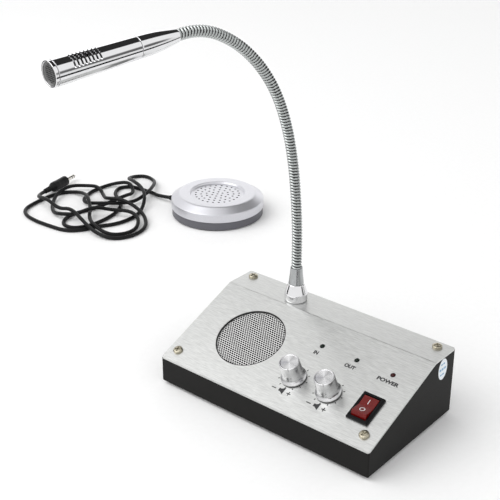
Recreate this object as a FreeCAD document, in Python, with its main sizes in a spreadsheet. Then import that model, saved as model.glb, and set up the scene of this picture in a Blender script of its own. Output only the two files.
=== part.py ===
import FreeCAD, Part
import math
import os
from types import SimpleNamespace

import Sketcher

# Teller window intercom: a wedge-shaped desk console with a gooseneck microphone, and a round window unit
# on its own cord. Lengths are in millimetres. Pieces are drawn in the console's frame, whose zero is the
# housing's front left bottom corner, with X to the right, Y to the rear and Z up.

SIZES = {
    # Console housing: a folded steel tray and two cheeks
    "console_width": 165.0,
    "console_depth": 92.0,
    "front_height": 18.5,
    "rear_height": 46.0,
    "slope_depth": 69.0,
    "housing_wall": 1.0,
    "housing_bend": 0.9,
    "tab_width": 13.0,
    "tab_length": 13.0,
    "tab_thickness": 1.2,
    "tab_thread_radius": 1.3,
    # Faceplate, one bent sheet that closes the housing
    "plate_thickness": 1.2,
    "plate_corner": 1.6,
    "plate_bend": 1.4,
    "left_screw_inset": 7.2,
    "right_screw_inset": 9.4,
    "front_screw_inset": 9.0,
    "rear_screw_inset": 6.2,
    # Faceplate screws, with low round heads and a cross recess
    "screw_head_radius": 3.2,
    "screw_head_height": 1.6,
    "screw_head_crown": 0.6,
    "screw_shank_radius": 1.2,
    "screw_length": 7.0,
    "screw_recess_width": 0.75,
    "screw_recess_reach": 1.9,
    "screw_recess_depth": 0.9,
    "screw_clearance": 0.15,
    # Loudspeaker behind its grille, on the left of the slope
    "speaker_slope": 39.6,
    "speaker_opening_radius": 23.6,
    "mesh_radius": 28.2,
    "mesh_thickness": 0.6,
    "mesh_pitch": 2.5,
    "mesh_hole_radius": 0.85,
    "gasket_thickness": 1.0,
    "gasket_width": 2.6,
    "basket_radius": 28.2,
    "basket_flange": 0.8,
    "basket_depth": 9.5,
    "basket_mouth_radius": 24.4,
    "basket_floor_radius": 15.5,
    "basket_wall": 0.8,
    "basket_bore_radius": 7.5,
    "cone_rim_radius": 24.9,
    "cone_paper": 0.6,
    "cone_throat_radius": 6.6,
    "cone_depth": 7.0,
    "dust_cap_rise": 2.0,
    "magnet_radius": 15.0,
    "magnet_height": 6.5,
    "clamp_ring_radius": 32.0,
    "clamp_lip": 1.6,
    "clamp_lip_thickness": 1.0,
    # Volume controls
    "knob_slope": 25.7,
    "pot_body_radius": 8.0,
    "pot_body_height": 7.5,
    "pot_bushing_radius": 3.45,
    "pot_bushing_height": 3.4,
    "pot_shaft_radius": 3.0,
    "pot_shaft_height": 12.5,
    "pot_shaft_tail": 6.0,
    "pot_running_gap": 0.05,
    "pot_hole_clearance": 0.1,
    "washer_radius": 5.3,
    "washer_thickness": 0.5,
    "pot_nut_reach": 5.4,
    "pot_nut_height": 2.0,
    "knob_skirt_radius": 8.3,
    "knob_skirt_height": 0.7,
    "knob_waist_radius": 6.85,
    "knob_waist_height": 5.2,
    "knob_top_radius": 6.4,
    "knob_height": 14.8,
    "knob_edge": 0.3,
    "knob_float": 0.8,
    "knob_dish": 0.25,
    "knob_rim": 0.7,
    "knob_hollow_radius": 5.8,
    "knob_hollow_depth": 4.0,
    "knob_mark_width": 0.7,
    "knob_mark_depth": 0.5,
    "knob_mark_length": 3.2,
    # Indicator lights
    "led_slope": 54.6,
    "led_radius": 1.5,
    "led_rise": 1.0,
    "led_dome": 1.3,
    "led_height": 5.3,
    "led_rim_radius": 1.9,
    "led_rim_height": 0.9,
    "led_clearance": 0.1,
    "led_holder_radius": 3.2,
    # Power switch, a rocker in a snap-in bezel
    "switch_slope": 25.4,
    "bezel_width": 15.0,
    "bezel_length": 21.0,
    "bezel_height": 2.0,
    "bezel_edge": 0.8,
    "switch_body_width": 13.0,
    "switch_body_length": 19.0,
    "switch_body_depth": 13.0,
    "switch_floor": 1.0,
    "switch_cutout_clearance": 0.15,
    "rocker_width": 10.4,
    "rocker_reach": 8.3,
    "rocker_side_gap": 0.35,
    "rocker_end_gap": 0.3,
    "rocker_pivot_depth": 1.0,
    "rocker_high_end": 5.6,
    "rocker_middle": 3.0,
    "rocker_skirt": 2.0,
    "rocker_hub_radius": 2.2,
    "rocker_edge": 0.35,
    "pin_radius": 0.9,
    "pin_running_gap": 0.05,
    "terminal_width": 4.8,
    "terminal_thickness": 0.8,
    "terminal_length": 6.0,
    "terminal_spacing": 6.4,
    # Gooseneck base on the flat strip
    "neck_y": 79.0,
    "stud_radius": 4.9,
    "stud_bore_radius": 2.2,
    "stud_above": 8.0,
    "stud_below": 10.0,
    "stud_clearance": 0.1,
    "dome_nut_radius": 7.8,
    "dome_nut_height": 12.2,
    "dome_nut_shoulder": 5.2,
    "dome_nut_top_radius": 5.4,
    "dome_nut_edge": 1.0,
    "dome_nut_foot": 0.5,
    "sleeve_height": 11.8,
    "sleeve_foot_radius": 5.2,
    "sleeve_top_radius": 4.1,
    "sleeve_gap": 0.15,
    "lock_nut_reach": 7.5,
    "lock_nut_height": 3.0,
    "neck_washer_radius": 8.0,
    "neck_washer_thickness": 0.8,
    # Gooseneck, a wound tube drawn as links that turn on each other
    "neck_radius": 3.5,
    "neck_root_radius": 2.95,
    "neck_bore_radius": 1.8,
    "rib_pitch": 2.1,
    "link_gap": 0.9,
    "neck_straight": 38.0,
    "link_length": 25.0,
    "last_link_arc": 26.0,
    "neck_insert": 3.5,
    "neck_tail": 4.0,
    # Microphone head
    "mic_cone_length": 26.2,
    "mic_cone_rear_radius": 4.1,
    "mic_cone_swell": 0.55,
    "mic_radius": 6.25,
    "mic_front_radius": 7.3,
    "mic_wall": 0.7,
    "mic_tube_length": 51.7,
    "mic_joint_gap": 0.4,
    "mic_spigot": 5.0,
    "mic_slot_width": 1.1,
    "mic_slot_pitch": 2.3,
    "mic_slot_cut": 4.5,
    "mic_slot_start": 11.7,
    "mic_bezel_length": 2.4,
    "mic_bezel_lip": 0.9,
    "mic_bezel_edge": 0.4,
    "mic_mesh_thickness": 0.4,
    "mic_mesh_recess": 0.9,
    "mic_mesh_pitch": 1.05,
    "mic_mesh_hole_radius": 0.33,
    "capsule_radius": 4.7,
    "capsule_length": 6.0,
    "capsule_seat_length": 4.5,
    # Amplifier board
    "board_y": 20.0,
    "board_width": 50.0,
    "board_length": 58.0,
    "board_thickness": 1.6,
    "board_hole_inset": 4.0,
    "standoff_height": 5.0,
    "standoff_radius": 2.6,
    "board_screw_radius": 1.4,
    "board_screw_head_radius": 2.6,
    "board_screw_head_height": 1.5,
    "chip_width": 6.4,
    "chip_length": 9.6,
    "chip_height": 3.4,
    "heat_sink_width": 20.0,
    "heat_sink_fin": 1.2,
    "heat_sink_height": 13.0,
    "heat_sink_depth": 7.0,
    "capacitor_radius": 3.2,
    "capacitor_height": 9.0,
    "plug_block_width": 8.0,
    "plug_block_depth": 5.0,
    "plug_block_height": 6.0,
    # Sockets in the rear wall
    "rear_socket_height": 22.0,
    "inlet_flange_radius": 5.6,
    "inlet_flange_height": 1.4,
    "inlet_barrel_radius": 4.0,
    "inlet_barrel_length": 9.5,
    "inlet_bore_radius": 2.8,
    "inlet_bore_depth": 9.0,
    "inlet_pin_radius": 1.0,
    "inlet_pin_inset": 1.0,
    "socket_nose_radius": 3.0,
    "socket_nose_length": 3.2,
    "socket_nut_radius": 4.4,
    "socket_nut_height": 1.8,
    "socket_body_radius": 4.4,
    "socket_body_length": 11.0,
    "socket_bore_radius": 1.8,
    "socket_bore_length": 14.0,
    "rear_hole_clearance": 0.15,
    # Feet and the oval label on the right wall
    "foot_radius": 5.5,
    "foot_height": 2.0,
    "foot_edge": 0.5,
    "foot_inset": 11.0,
    "label_y": 78.0,
    "label_z": 37.3,
    "label_half_width": 5.0,
    "label_half_height": 7.3,
    "label_thickness": 0.15,
    # Window unit
    "puck_left_of_console": 157.0,
    "puck_behind_front": 233.0,
    "puck_radius": 41.0,
    "puck_height": 20.0,
    "puck_wall": 1.8,
    "puck_shoulder_width": 7.4,
    "puck_ring_width": 10.2,
    "puck_ring_edge": 1.2,
    "puck_shoulder_drop": 4.6,
    "puck_recess_depth": 1.8,
    "puck_recess_slope": 0.9,
    "puck_hole_radius": 0.9,
    "puck_hole_margin": 4.08,
    "puck_pinhole_radius": 0.9,
    "puck_pinhole_inset": 5.4,
    "puck_base_height": 8.0,
    "puck_base_inset": 0.6,
    "puck_base_floor": 1.4,
    "puck_base_step": 0.25,
    "puck_spigot_height": 2.5,
    "puck_fit": 0.15,
    "puck_pad_inset": 7.4,
    "puck_pad_thickness": 1.0,
    "puck_speaker_inset": 3.4,
    "puck_speaker_rim": 1.0,
    "puck_speaker_depth": 6.0,
    "puck_speaker_motor_radius": 9.5,
    "puck_speaker_motor_height": 3.2,
    "puck_speaker_well": 1.6,
    "puck_mic_radius": 3.0,
    "puck_mic_height": 3.0,
    "puck_mic_gap": 0.3,
    # Window unit's cord with its plug
    "cord_radius": 1.65,
    "grommet_radius": 3.0,
    "grommet_flange_radius": 3.4,
    "grommet_flange": 1.2,
    "grommet_length": 9.0,
    "grommet_height": 5.0,
    "grommet_fit": 0.1,
    "grommet_lip": 0.3,
    "plug_boot_length": 8.0,
    "plug_boot_radius": 2.6,
    "plug_boot_end_radius": 2.3,
    "plug_body_length": 19.0,
    "plug_body_radius": 4.6,
    "plug_body_edge": 0.6,
    "plug_waist_length": 4.0,
    "plug_contact_radius": 1.75,
    "plug_contact_length": 14.0,
    "plug_groove_depth": 0.2,
    "plug_groove_width": 0.6,
    "plug_tip_length": 2.6,
    "plug_ring_length": 2.4,
    # Shared by pieces that are pushed together, and by every cut
    "snug_fit": 0.05,
    "overrun": 1.0,
}

# Where things stand across the console, as shares of its width: a wider console spreads them alike.
SPEAKER_X_SHARE = 0.2764
KNOB_LEFT_X_SHARE = 0.556
KNOB_SPACING_SHARE = 0.162
LED_LEFT_X_SHARE = 0.566
LED_SPACING_SHARE = 0.161
SWITCH_X_SHARE = 0.8848
NECK_X_SHARE = 0.303
BOARD_X_SHARE = 0.503
INLET_X_SHARE = 0.739
SOCKET_X_SHARE = 0.606

ROCKER_SWING_DEG = 17.5
# Both knobs stand at the end of their travel, with their notch at five o'clock.
KNOB_TURN_DEG = 30.0
NECK_AZIMUTH_DEG = 10.0
PUCK_EXIT_DEG = 192.5
# How far each link of the gooseneck turns forward along its length, in degrees, from the base up.
LINK_TURNS = [0.0, 4.0, 3.0, 5.5, 8.5, 13.0, 14.5, 16.0, 30.0]
PUCK_HOLE_RINGS = [6, 12, 18, 24]
SLOT_COUNT = 8
SLOT_TURN_DEG = -25.5


class Size:
    """A named size, or one worked out from named sizes, with the sheet's own expression for it."""

    def __init__(self, value, text):
        self.value = value
        self.text = text

    def __add__(self, other):
        other = as_size(other)
        return Size(self.value + other.value, f"({self.text} + {other.text})")

    def __radd__(self, other):
        return as_size(other) + self

    def __sub__(self, other):
        other = as_size(other)
        return Size(self.value - other.value, f"({self.text} - {other.text})")

    def __rsub__(self, other):
        return as_size(other) - self

    def __mul__(self, other):
        other = as_size(other)
        return Size(self.value * other.value, f"({self.text} * {other.text})")

    def __rmul__(self, other):
        return as_size(other) * self

    def __truediv__(self, other):
        other = as_size(other)
        return Size(self.value / other.value, f"({self.text} / {other.text})")

    def __rtruediv__(self, other):
        return as_size(other) / self

    def __neg__(self):
        return Size(-self.value, f"(0 - {self.text})")


def as_size(number):
    if isinstance(number, Size):
        return number
    return Size(float(number), repr(number))


def square_root(size):
    return Size(math.sqrt(size.value), f"sqrt({size.text})")


doc = FreeCAD.newDocument("teller_window_intercom")
sheet = doc.addObject("Spreadsheet::Sheet", "sizes")
v = SimpleNamespace()


def write_cell(row, name, text):
    sheet.set(f"A{row}", name)
    sheet.set(f"B{row}", text)
    sheet.setAlias(f"B{row}", name)


for row, (name, value) in enumerate(SIZES.items(), start=1):
    write_cell(row, name, str(value))
    setattr(v, name, Size(value, f"sizes.{name}"))

# The slope of the faceplate follows from the housing's heights and the depth of the slope.
slope_ratio = (v.rear_height - v.front_height) / v.slope_depth
slope_stretch = square_root(slope_ratio * slope_ratio + 1)
slope_cos = 1 / slope_stretch
slope_sin = slope_ratio / slope_stretch
slope_angle_deg = math.degrees(math.atan(slope_ratio.value))
doc.recompute()

speaker_x = v.console_width * SPEAKER_X_SHARE
knob_left_x = v.console_width * KNOB_LEFT_X_SHARE
knob_spacing = v.console_width * KNOB_SPACING_SHARE
led_left_x = v.console_width * LED_LEFT_X_SHARE
led_spacing = v.console_width * LED_SPACING_SHARE
switch_x = v.console_width * SWITCH_X_SHARE
neck_x = v.console_width * NECK_X_SHARE
board_x = v.console_width * BOARD_X_SHARE
inlet_x = v.console_width * INLET_X_SHARE
socket_x = v.console_width * SOCKET_X_SHARE

ZERO = as_size(0)
FULL_TURN_DEG = 360.0


def vector(x, y, z):
    return FreeCAD.Vector(*(as_size(value).value for value in (x, y, z)))


X_AXIS = vector(1, 0, 0)
Y_AXIS = vector(0, 1, 0)
Z_AXIS = vector(0, 0, 1)


def bind(thing, path, size):
    thing.setExpression(path, as_size(size).text)


def new_body(label):
    body = doc.addObject("PartDesign::Body", label)
    body.Label = label
    return body


def new_sketch(body, name, role, outlines=(), circles=(), lift=ZERO):
    """A fully sized sketch on one of the body's own planes, lifted along that plane's normal."""
    sketch = body.newObject("Sketcher::SketchObject", name)
    plane = next(item for item in body.Origin.OriginFeatures if item.Role == role)
    sketch.AttachmentSupport = (plane, [""])
    sketch.MapMode = "FlatFace"
    bind(sketch, ".AttachmentOffset.Base.z", lift)
    for points in outlines:
        first = sketch.GeometryCount
        corners = [vector(a, b, 0) for a, b in points]
        sketch.addGeometry([Part.LineSegment(p, q) for p, q in zip(corners, corners[1:] + corners[:1])])
        for i, (a, b) in enumerate(points):
            geometry = first + i
            following = first + (i + 1) % len(points)
            sketch.addConstraint(Sketcher.Constraint("Coincident", geometry, 2, following, 1))
            size_point(sketch, geometry, 1, a, b)
    for x, y, radius in circles:
        geometry = sketch.addGeometry(Part.Circle(vector(x, y, 0), Z_AXIS, as_size(radius).value))
        size_point(sketch, geometry, 3, x, y)
        index = sketch.addConstraint(Sketcher.Constraint("Radius", geometry, as_size(radius).value))
        bind(sketch, f"Constraints[{index}]", radius)
    return sketch


def size_point(sketch, geometry, point, x, y):
    for kind, size in (("DistanceX", as_size(x)), ("DistanceY", as_size(y))):
        index = sketch.addConstraint(Sketcher.Constraint(kind, -1, 1, geometry, point, size.value))
        bind(sketch, f"Constraints[{index}]", size)


def tilt_onto_slope(sketch, depth=ZERO):
    """Moves a sketch onto the slope, or that far under it: its zero is the slope's front left corner."""
    sketch.AttachmentOffset = FreeCAD.Placement(vector(0, 0, 0), FreeCAD.Rotation(X_AXIS, slope_angle_deg))
    bind(sketch, ".AttachmentOffset.Rotation.Angle", Size(slope_angle_deg, f"atan({slope_ratio.text})"))
    bind(sketch, ".AttachmentOffset.Base.y", depth * slope_sin)
    bind(sketch, ".AttachmentOffset.Base.z", v.front_height - depth * slope_cos)
    return sketch


def add_feature(body, kind, name, sketch, length, reverse=False):
    feature = body.newObject(f"PartDesign::{kind}", name)
    feature.Profile = sketch
    bind(feature, "Length", length)
    feature.Reversed = reverse
    sketch.Visibility = False
    return feature


def pad(body, name, sketch, length, reverse=False):
    return add_feature(body, "Pad", name, sketch, length, reverse)


def pocket(body, name, sketch, length, reverse=False):
    """A cut that has to take something away: the volumes before and after are compared."""
    doc.recompute()
    before = body.Shape.Volume
    feature = add_feature(body, "Pocket", name, sketch, length, reverse)
    doc.recompute()
    if not body.Shape.Volume < before:
        raise RuntimeError(f"{body.Label}: {name} cuts nothing")
    return feature


def revolve(body, name, sketch):
    feature = body.newObject("PartDesign::Revolution", name)
    feature.Profile = sketch
    feature.ReferenceAxis = (sketch, ["V_Axis"])
    feature.Angle = FULL_TURN_DEG
    return feature


def turned(label, outline):
    """A piece turned on a lathe: the outline holds radius and height pairs, and Z is its axis."""
    body = new_body(label)
    revolve(body, f"{label}_turn", new_sketch(body, f"{label}_outline", "XZ_Plane", [outline]))
    return body


def ring_outline(inner, outer, bottom, top):
    return [(inner, bottom), (outer, bottom), (outer, top), (inner, top)]


def box_outline(left, right, front, rear):
    return [(left, front), (right, front), (right, rear), (left, rear)]


def centred_box(x, y, width, length):
    return box_outline(x - width / 2, x + width / 2, y - length / 2, y + length / 2)


def hexagon(reach):
    """Corners of a hexagon whose corners lie that far from its middle."""
    shares = [(1, 0), (0.5, 1), (-0.5, 1), (-1, 0), (-0.5, -1), (0.5, -1)]
    half_height = square_root(as_size(3)) / 2
    return [(reach * a, reach * half_height * b) for a, b in shares]


def round_edges(body, name, radius, wanted, kind="Fillet"):
    """Rounds, or bevels, the edges that the test picks."""
    doc.recompute()
    edges = [f"Edge{i}" for i, edge in enumerate(body.Shape.Edges, start=1) if wanted(edge)]
    if not edges:
        raise RuntimeError(f"{body.Label}: {name} finds no edge")
    base = body.Tip
    feature = body.newObject(f"PartDesign::{kind}", name)
    feature.Base = (base, edges)
    bind(feature, "Size" if kind == "Chamfer" else "Radius", radius)
    return feature


def lies_at(edge, axis, size):
    """True for an edge that lies wholly at one place along an axis."""
    box = edge.BoundBox
    low, high = {"x": (box.XMin, box.XMax), "y": (box.YMin, box.YMax), "z": (box.ZMin, box.ZMax)}[axis]
    place = as_size(size).value
    return math.isclose(low, place, abs_tol=1e-6) and math.isclose(high, place, abs_tol=1e-6)


def runs_along(edge, axis):
    if not isinstance(edge.Curve, Part.Line):
        return False
    return math.isclose(abs(edge.Curve.Direction.dot(axis)), 1, abs_tol=1e-6)


def is_circle(edge, radius):
    if not isinstance(edge.Curve, Part.Circle):
        return False
    return math.isclose(edge.Curve.Radius, as_size(radius).value, abs_tol=1e-6)


def place(x, y, z, axis=Z_AXIS, angle=0.0):
    return FreeCAD.Placement(vector(x, y, z), FreeCAD.Rotation(axis, angle))


def on_slope(x, slope):
    """A place on the faceplate's slope: local Z leaves the plate, local Y runs up the slope."""
    return place(x, slope * slope_cos, v.front_height + slope * slope_sin, X_AXIS, slope_angle_deg)


def on_rear_wall(x, z):
    """A place on the outside of the rear wall, with local Z pointing out of it."""
    return place(x, v.console_depth, z, X_AXIS, -90.0)


def solid_feature(label, shape):
    feature = doc.addObject("Part::Feature", label)
    feature.Label = label
    feature.Shape = shape
    return feature


pieces = {}


def keep(thing, where=FreeCAD.Placement()):
    pieces[thing.Label] = (thing, where)


def keep_group(label, masters, places):
    """Copies of one or more pieces at each place, as separate solids in one node."""
    doc.recompute()
    copies = []
    for master in masters:
        for where in places:
            for solid in master.Shape.Solids:
                copy = solid.copy()
                copy.Placement = where.multiply(copy.Placement)
                copies.append(copy)
    keep(solid_feature(label, Part.makeCompound(copies)))


# Housing: a folded steel tray of floor, front and rear wall, closed at its ends by two cheeks. Each cheek
# has two tabs that the faceplate is screwed to.
plate_drop = v.plate_thickness * slope_stretch
kink_shift = v.plate_thickness * (slope_stretch - 1) / slope_ratio
plate_underside = v.rear_height - v.plate_thickness

housing = new_body("housing")
side_profile = [
    (ZERO, ZERO),
    (v.console_depth, ZERO),
    (v.console_depth, plate_underside),
    (v.slope_depth + kink_shift, plate_underside),
    (ZERO, v.front_height - plate_drop),
]
tray_width = v.console_width - 2 * v.housing_wall
tray_profile = new_sketch(housing, "tray_profile", "YZ_Plane", [side_profile], lift=v.housing_wall)
pad(housing, "blank", tray_profile, tray_width)
round_edges(
    housing,
    "folds",
    v.housing_bend,
    lambda edge: runs_along(edge, X_AXIS) and lies_at(edge, "z", ZERO),
)
inside = box_outline(
    v.housing_wall,
    v.console_depth - v.housing_wall,
    v.housing_wall,
    v.rear_height + v.overrun,
)
cavity = new_sketch(housing, "cavity_profile", "YZ_Plane", [inside], lift=v.housing_wall)
pocket(housing, "cavity", cavity, tray_width, reverse=True)

left_screw_x = v.left_screw_inset
right_screw_x = v.console_width - v.right_screw_inset
rear_screw_y = v.console_depth - v.rear_screw_inset
half_wall = v.housing_wall / 2
tab_front = v.housing_wall * slope_stretch


def cheek(label, outer_x, tab, screw_x):
    """One end wall, rounded on its outside, with its front tab under the slope and its rear tab."""
    body = new_body(label)
    is_left = outer_x is ZERO
    inner_x = v.housing_wall if is_left else v.console_width - v.housing_wall
    outline = new_sketch(body, f"{label}_profile", "YZ_Plane", [side_profile], lift=inner_x)
    pad(body, f"{label}_wall", outline, v.housing_wall, reverse=is_left)
    round_edges(
        body,
        f"{label}_corners",
        v.housing_bend,
        lambda edge: runs_along(edge, X_AXIS) and lies_at(edge, "z", ZERO),
    )
    low = v.housing_bend + v.snug_fit
    round_edges(
        body,
        f"{label}_edges",
        v.housing_bend,
        lambda edge: lies_at(edge, "x", outer_x) and edge.BoundBox.ZMin < low.value,
    )
    front = box_outline(*tab, tab_front, tab_front + v.tab_length)
    front_sketch = new_sketch(body, f"{label}_front_tab_outline", "XY_Plane", [front])
    tilt_onto_slope(front_sketch, v.plate_thickness)
    pad(body, f"{label}_front_tab", front_sketch, v.tab_thickness, reverse=True)
    rear_edge = v.console_depth - v.housing_wall
    rear = box_outline(*tab, rear_edge - v.tab_length, rear_edge)
    rear_sketch = new_sketch(body, f"{label}_rear_tab_outline", "XY_Plane", [rear], lift=plate_underside)
    pad(body, f"{label}_rear_tab", rear_sketch, v.tab_thickness, reverse=True)
    front_thread = (screw_x, v.front_screw_inset, v.tab_thread_radius)
    front_hole = new_sketch(body, f"{label}_front_thread_hole", "XY_Plane", circles=[front_thread])
    tilt_onto_slope(front_hole, v.plate_thickness)
    pocket(body, f"{label}_front_thread", front_hole, v.tab_thickness + v.overrun)
    rear_thread = (screw_x, rear_screw_y, v.tab_thread_radius)
    rear_hole = new_sketch(
        body,
        f"{label}_rear_thread_hole",
        "XY_Plane",
        circles=[rear_thread],
        lift=plate_underside,
    )
    pocket(body, f"{label}_rear_thread", rear_hole, v.tab_thickness + v.overrun)
    return body


left_tab = (half_wall, v.housing_wall + v.tab_width)
right_tab = (v.console_width - v.housing_wall - v.tab_width, v.console_width - half_wall)
cheeks = [
    cheek("left_cheek", ZERO, left_tab, left_screw_x),
    cheek("right_cheek", v.console_width, right_tab, right_screw_x),
]
keep_group("housing_sides", cheeks, [FreeCAD.Placement()])
slope_screws = [(x, v.front_screw_inset) for x in (left_screw_x, right_screw_x)]
deck_screws = [(x, rear_screw_y) for x in (left_screw_x, right_screw_x)]

rear_holes = new_sketch(
    housing,
    "rear_wall_holes",
    "XZ_Plane",
    circles=[
        (inlet_x, v.rear_socket_height, v.inlet_barrel_radius + v.rear_hole_clearance),
        (socket_x, v.rear_socket_height, v.socket_nose_radius + v.rear_hole_clearance),
    ],
    lift=-(v.console_depth + v.overrun),
)
pocket(housing, "rear_wall_openings", rear_holes, v.housing_wall + 2 * v.overrun, reverse=True)
keep(housing)

# Faceplate: one sheet, bent once, with every opening of the panel.
faceplate = new_body("faceplate")
sheet_profile = [
    (ZERO, v.front_height),
    (ZERO, v.front_height - plate_drop),
    (v.slope_depth + kink_shift, plate_underside),
    (v.console_depth, plate_underside),
    (v.console_depth, v.rear_height),
    (v.slope_depth, v.rear_height),
]
pad(faceplate, "sheet", new_sketch(faceplate, "sheet_profile", "YZ_Plane", [sheet_profile]), v.console_width)
round_edges(
    faceplate,
    "bend",
    v.plate_bend,
    lambda edge: runs_along(edge, X_AXIS) and lies_at(edge, "y", v.slope_depth),
)
round_edges(
    faceplate,
    "corners",
    v.plate_corner,
    lambda edge: runs_along(edge, Z_AXIS) and edge.Length < 2 * v.plate_thickness.value,
)
knob_places = [(knob_left_x + i * knob_spacing, v.knob_slope) for i in range(2)]
led_places = [(led_left_x + i * led_spacing, v.led_slope) for i in range(3)]
screw_hole_radius = v.screw_shank_radius + v.screw_clearance
cutout = centred_box(
    switch_x,
    v.switch_slope,
    v.switch_body_width + 2 * v.switch_cutout_clearance,
    v.switch_body_length + 2 * v.switch_cutout_clearance,
)
slope_holes = [(speaker_x, v.speaker_slope, v.speaker_opening_radius)]
slope_holes += [(x, s, v.pot_bushing_radius + v.pot_hole_clearance) for x, s in knob_places]
slope_holes += [(x, s, v.led_radius + v.led_clearance) for x, s in led_places]
slope_holes += [(x, s, screw_hole_radius) for x, s in slope_screws]
slope_cuts = new_sketch(faceplate, "slope_openings", "XY_Plane", [cutout], slope_holes)
tilt_onto_slope(slope_cuts)
pocket(faceplate, "slope_cuts", slope_cuts, v.plate_thickness + v.overrun)
deck_holes = [(neck_x, v.neck_y, v.stud_radius + v.stud_clearance)]
deck_holes += [(x, y, screw_hole_radius) for x, y in deck_screws]
deck_cuts = new_sketch(faceplate, "deck_openings", "XY_Plane", circles=deck_holes, lift=v.rear_height)
pocket(faceplate, "deck_cuts", deck_cuts, v.plate_thickness + v.overrun)
keep(faceplate)

# Faceplate screws: low round heads with a cross recess.
screw = new_body("screw_master")
screw_rim = v.screw_head_height - v.screw_head_crown
screw_outline = [
    (ZERO, -v.screw_length),
    (v.screw_shank_radius, -v.screw_length),
    (v.screw_shank_radius, ZERO),
    (v.screw_head_radius, ZERO),
    (v.screw_head_radius, screw_rim),
    (v.screw_head_radius - v.screw_head_crown, screw_rim + v.screw_head_crown * 3 / 4),
    (v.screw_recess_reach, v.screw_head_height),
    (ZERO, v.screw_head_height),
]
revolve(screw, "screw_turn", new_sketch(screw, "screw_outline", "XZ_Plane", [screw_outline]))
half_slot = v.screw_recess_width / 2
cross = [
    (v.screw_recess_reach, -half_slot),
    (v.screw_recess_reach, half_slot),
    (half_slot, half_slot),
    (half_slot, v.screw_recess_reach),
    (-half_slot, v.screw_recess_reach),
    (-half_slot, half_slot),
    (-v.screw_recess_reach, half_slot),
    (-v.screw_recess_reach, -half_slot),
    (-half_slot, -half_slot),
    (-half_slot, -v.screw_recess_reach),
    (half_slot, -v.screw_recess_reach),
    (half_slot, -half_slot),
]
cross_sketch = new_sketch(screw, "cross_outline", "XY_Plane", [cross], lift=v.screw_head_height)
pocket(screw, "cross_recess", cross_sketch, v.screw_recess_depth)
screw_turns_deg = [20.0, 55.0, 80.0, 35.0]
screw_places = [on_slope(x, s) for x, s in slope_screws]
screw_places += [place(x, y, v.rear_height) for x, y in deck_screws]
screw_places = [
    where.multiply(place(0, 0, 0, Z_AXIS, turn)) for where, turn in zip(screw_places, screw_turns_deg)
]
keep_group("panel_screws", [screw], screw_places)

# Loudspeaker: grille mesh, gasket, clamp ring, basket, paper cone and magnet, under the slope.
speaker_place = on_slope(speaker_x, v.speaker_slope)


def perforated_disc(label, radius, thickness, pitch, hole_radius, bottom):
    """A disc with round holes on a triangular grid, cut from one holed face."""
    r, p, hole, low = (as_size(item).value for item in (radius, pitch, hole_radius, bottom))
    row_pitch = p * math.sqrt(3) / 2
    rows = int(r / row_pitch)
    wires = [Part.Wire(Part.makeCircle(r, FreeCAD.Vector(0, 0, low)))]
    for row in range(-rows, rows + 1):
        shift = p / 2 if row % 2 else 0.0
        columns = int(r / p) + 1
        for column in range(-columns, columns + 1):
            x = column * p + shift
            y = row * row_pitch
            if math.hypot(x, y) + 2 * hole < r:
                wires.append(Part.Wire(Part.makeCircle(hole, FreeCAD.Vector(x, y, low))))
    face = Part.makeFace(wires, "Part::FaceMakerBullseye")
    return solid_feature(label, face.extrude(vector(0, 0, thickness)))


def perforated_grille(label, outer, holed, thickness, pitch, hole_radius, bottom):
    """A perforated disc with a plain rim around it."""
    inner = perforated_disc(label, holed, thickness, pitch, hole_radius, bottom)
    rim = Part.makeCylinder(outer.value, thickness.value, vector(0, 0, bottom))
    core = Part.makeCylinder(holed.value, thickness.value, vector(0, 0, bottom))
    inner.Shape = rim.cut(core).fuse(inner.Shape).removeSplitter()
    return inner


mesh_bottom = -(v.plate_thickness + v.mesh_thickness)
speaker_mesh = perforated_grille(
    "speaker_mesh",
    v.mesh_radius,
    v.speaker_opening_radius,
    v.mesh_thickness,
    v.mesh_pitch,
    v.mesh_hole_radius,
    mesh_bottom,
)
keep(speaker_mesh, speaker_place)

gasket_bottom = mesh_bottom - v.gasket_thickness
gasket = turned(
    "speaker_gasket",
    ring_outline(v.basket_radius - v.gasket_width, v.basket_radius, gasket_bottom, mesh_bottom),
)
keep(gasket, speaker_place)

flange_bottom = gasket_bottom - v.basket_flange
basket_bottom = gasket_bottom - v.basket_depth
basket = turned(
    "speaker_basket",
    [
        (v.basket_mouth_radius, gasket_bottom),
        (v.basket_radius, gasket_bottom),
        (v.basket_radius, flange_bottom),
        (v.basket_mouth_radius + v.basket_wall, flange_bottom),
        (v.basket_floor_radius + v.basket_wall, basket_bottom),
        (v.basket_bore_radius, basket_bottom),
        (v.basket_bore_radius, basket_bottom + v.basket_wall),
        (v.basket_floor_radius, basket_bottom + v.basket_wall),
        (v.basket_mouth_radius, flange_bottom),
    ],
)
keep(basket, speaker_place)

cone_bottom = gasket_bottom - v.cone_depth
paper_cone = turned(
    "speaker_cone",
    [
        (v.cone_rim_radius, gasket_bottom),
        (v.cone_rim_radius, gasket_bottom + v.cone_paper),
        (v.basket_mouth_radius - v.cone_paper, gasket_bottom + v.cone_paper),
        (v.cone_throat_radius, cone_bottom + v.cone_paper),
        (ZERO, cone_bottom + v.cone_paper + v.dust_cap_rise),
        (ZERO, cone_bottom + v.dust_cap_rise),
        (v.cone_throat_radius, cone_bottom),
        (v.basket_mouth_radius - v.cone_paper, gasket_bottom),
    ],
)
keep(paper_cone, speaker_place)

magnet = turned(
    "speaker_magnet",
    [
        (ZERO, basket_bottom - v.magnet_height),
        (v.magnet_radius, basket_bottom - v.magnet_height),
        (v.magnet_radius, basket_bottom),
        (ZERO, basket_bottom),
    ],
)
keep(magnet, speaker_place)

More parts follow.
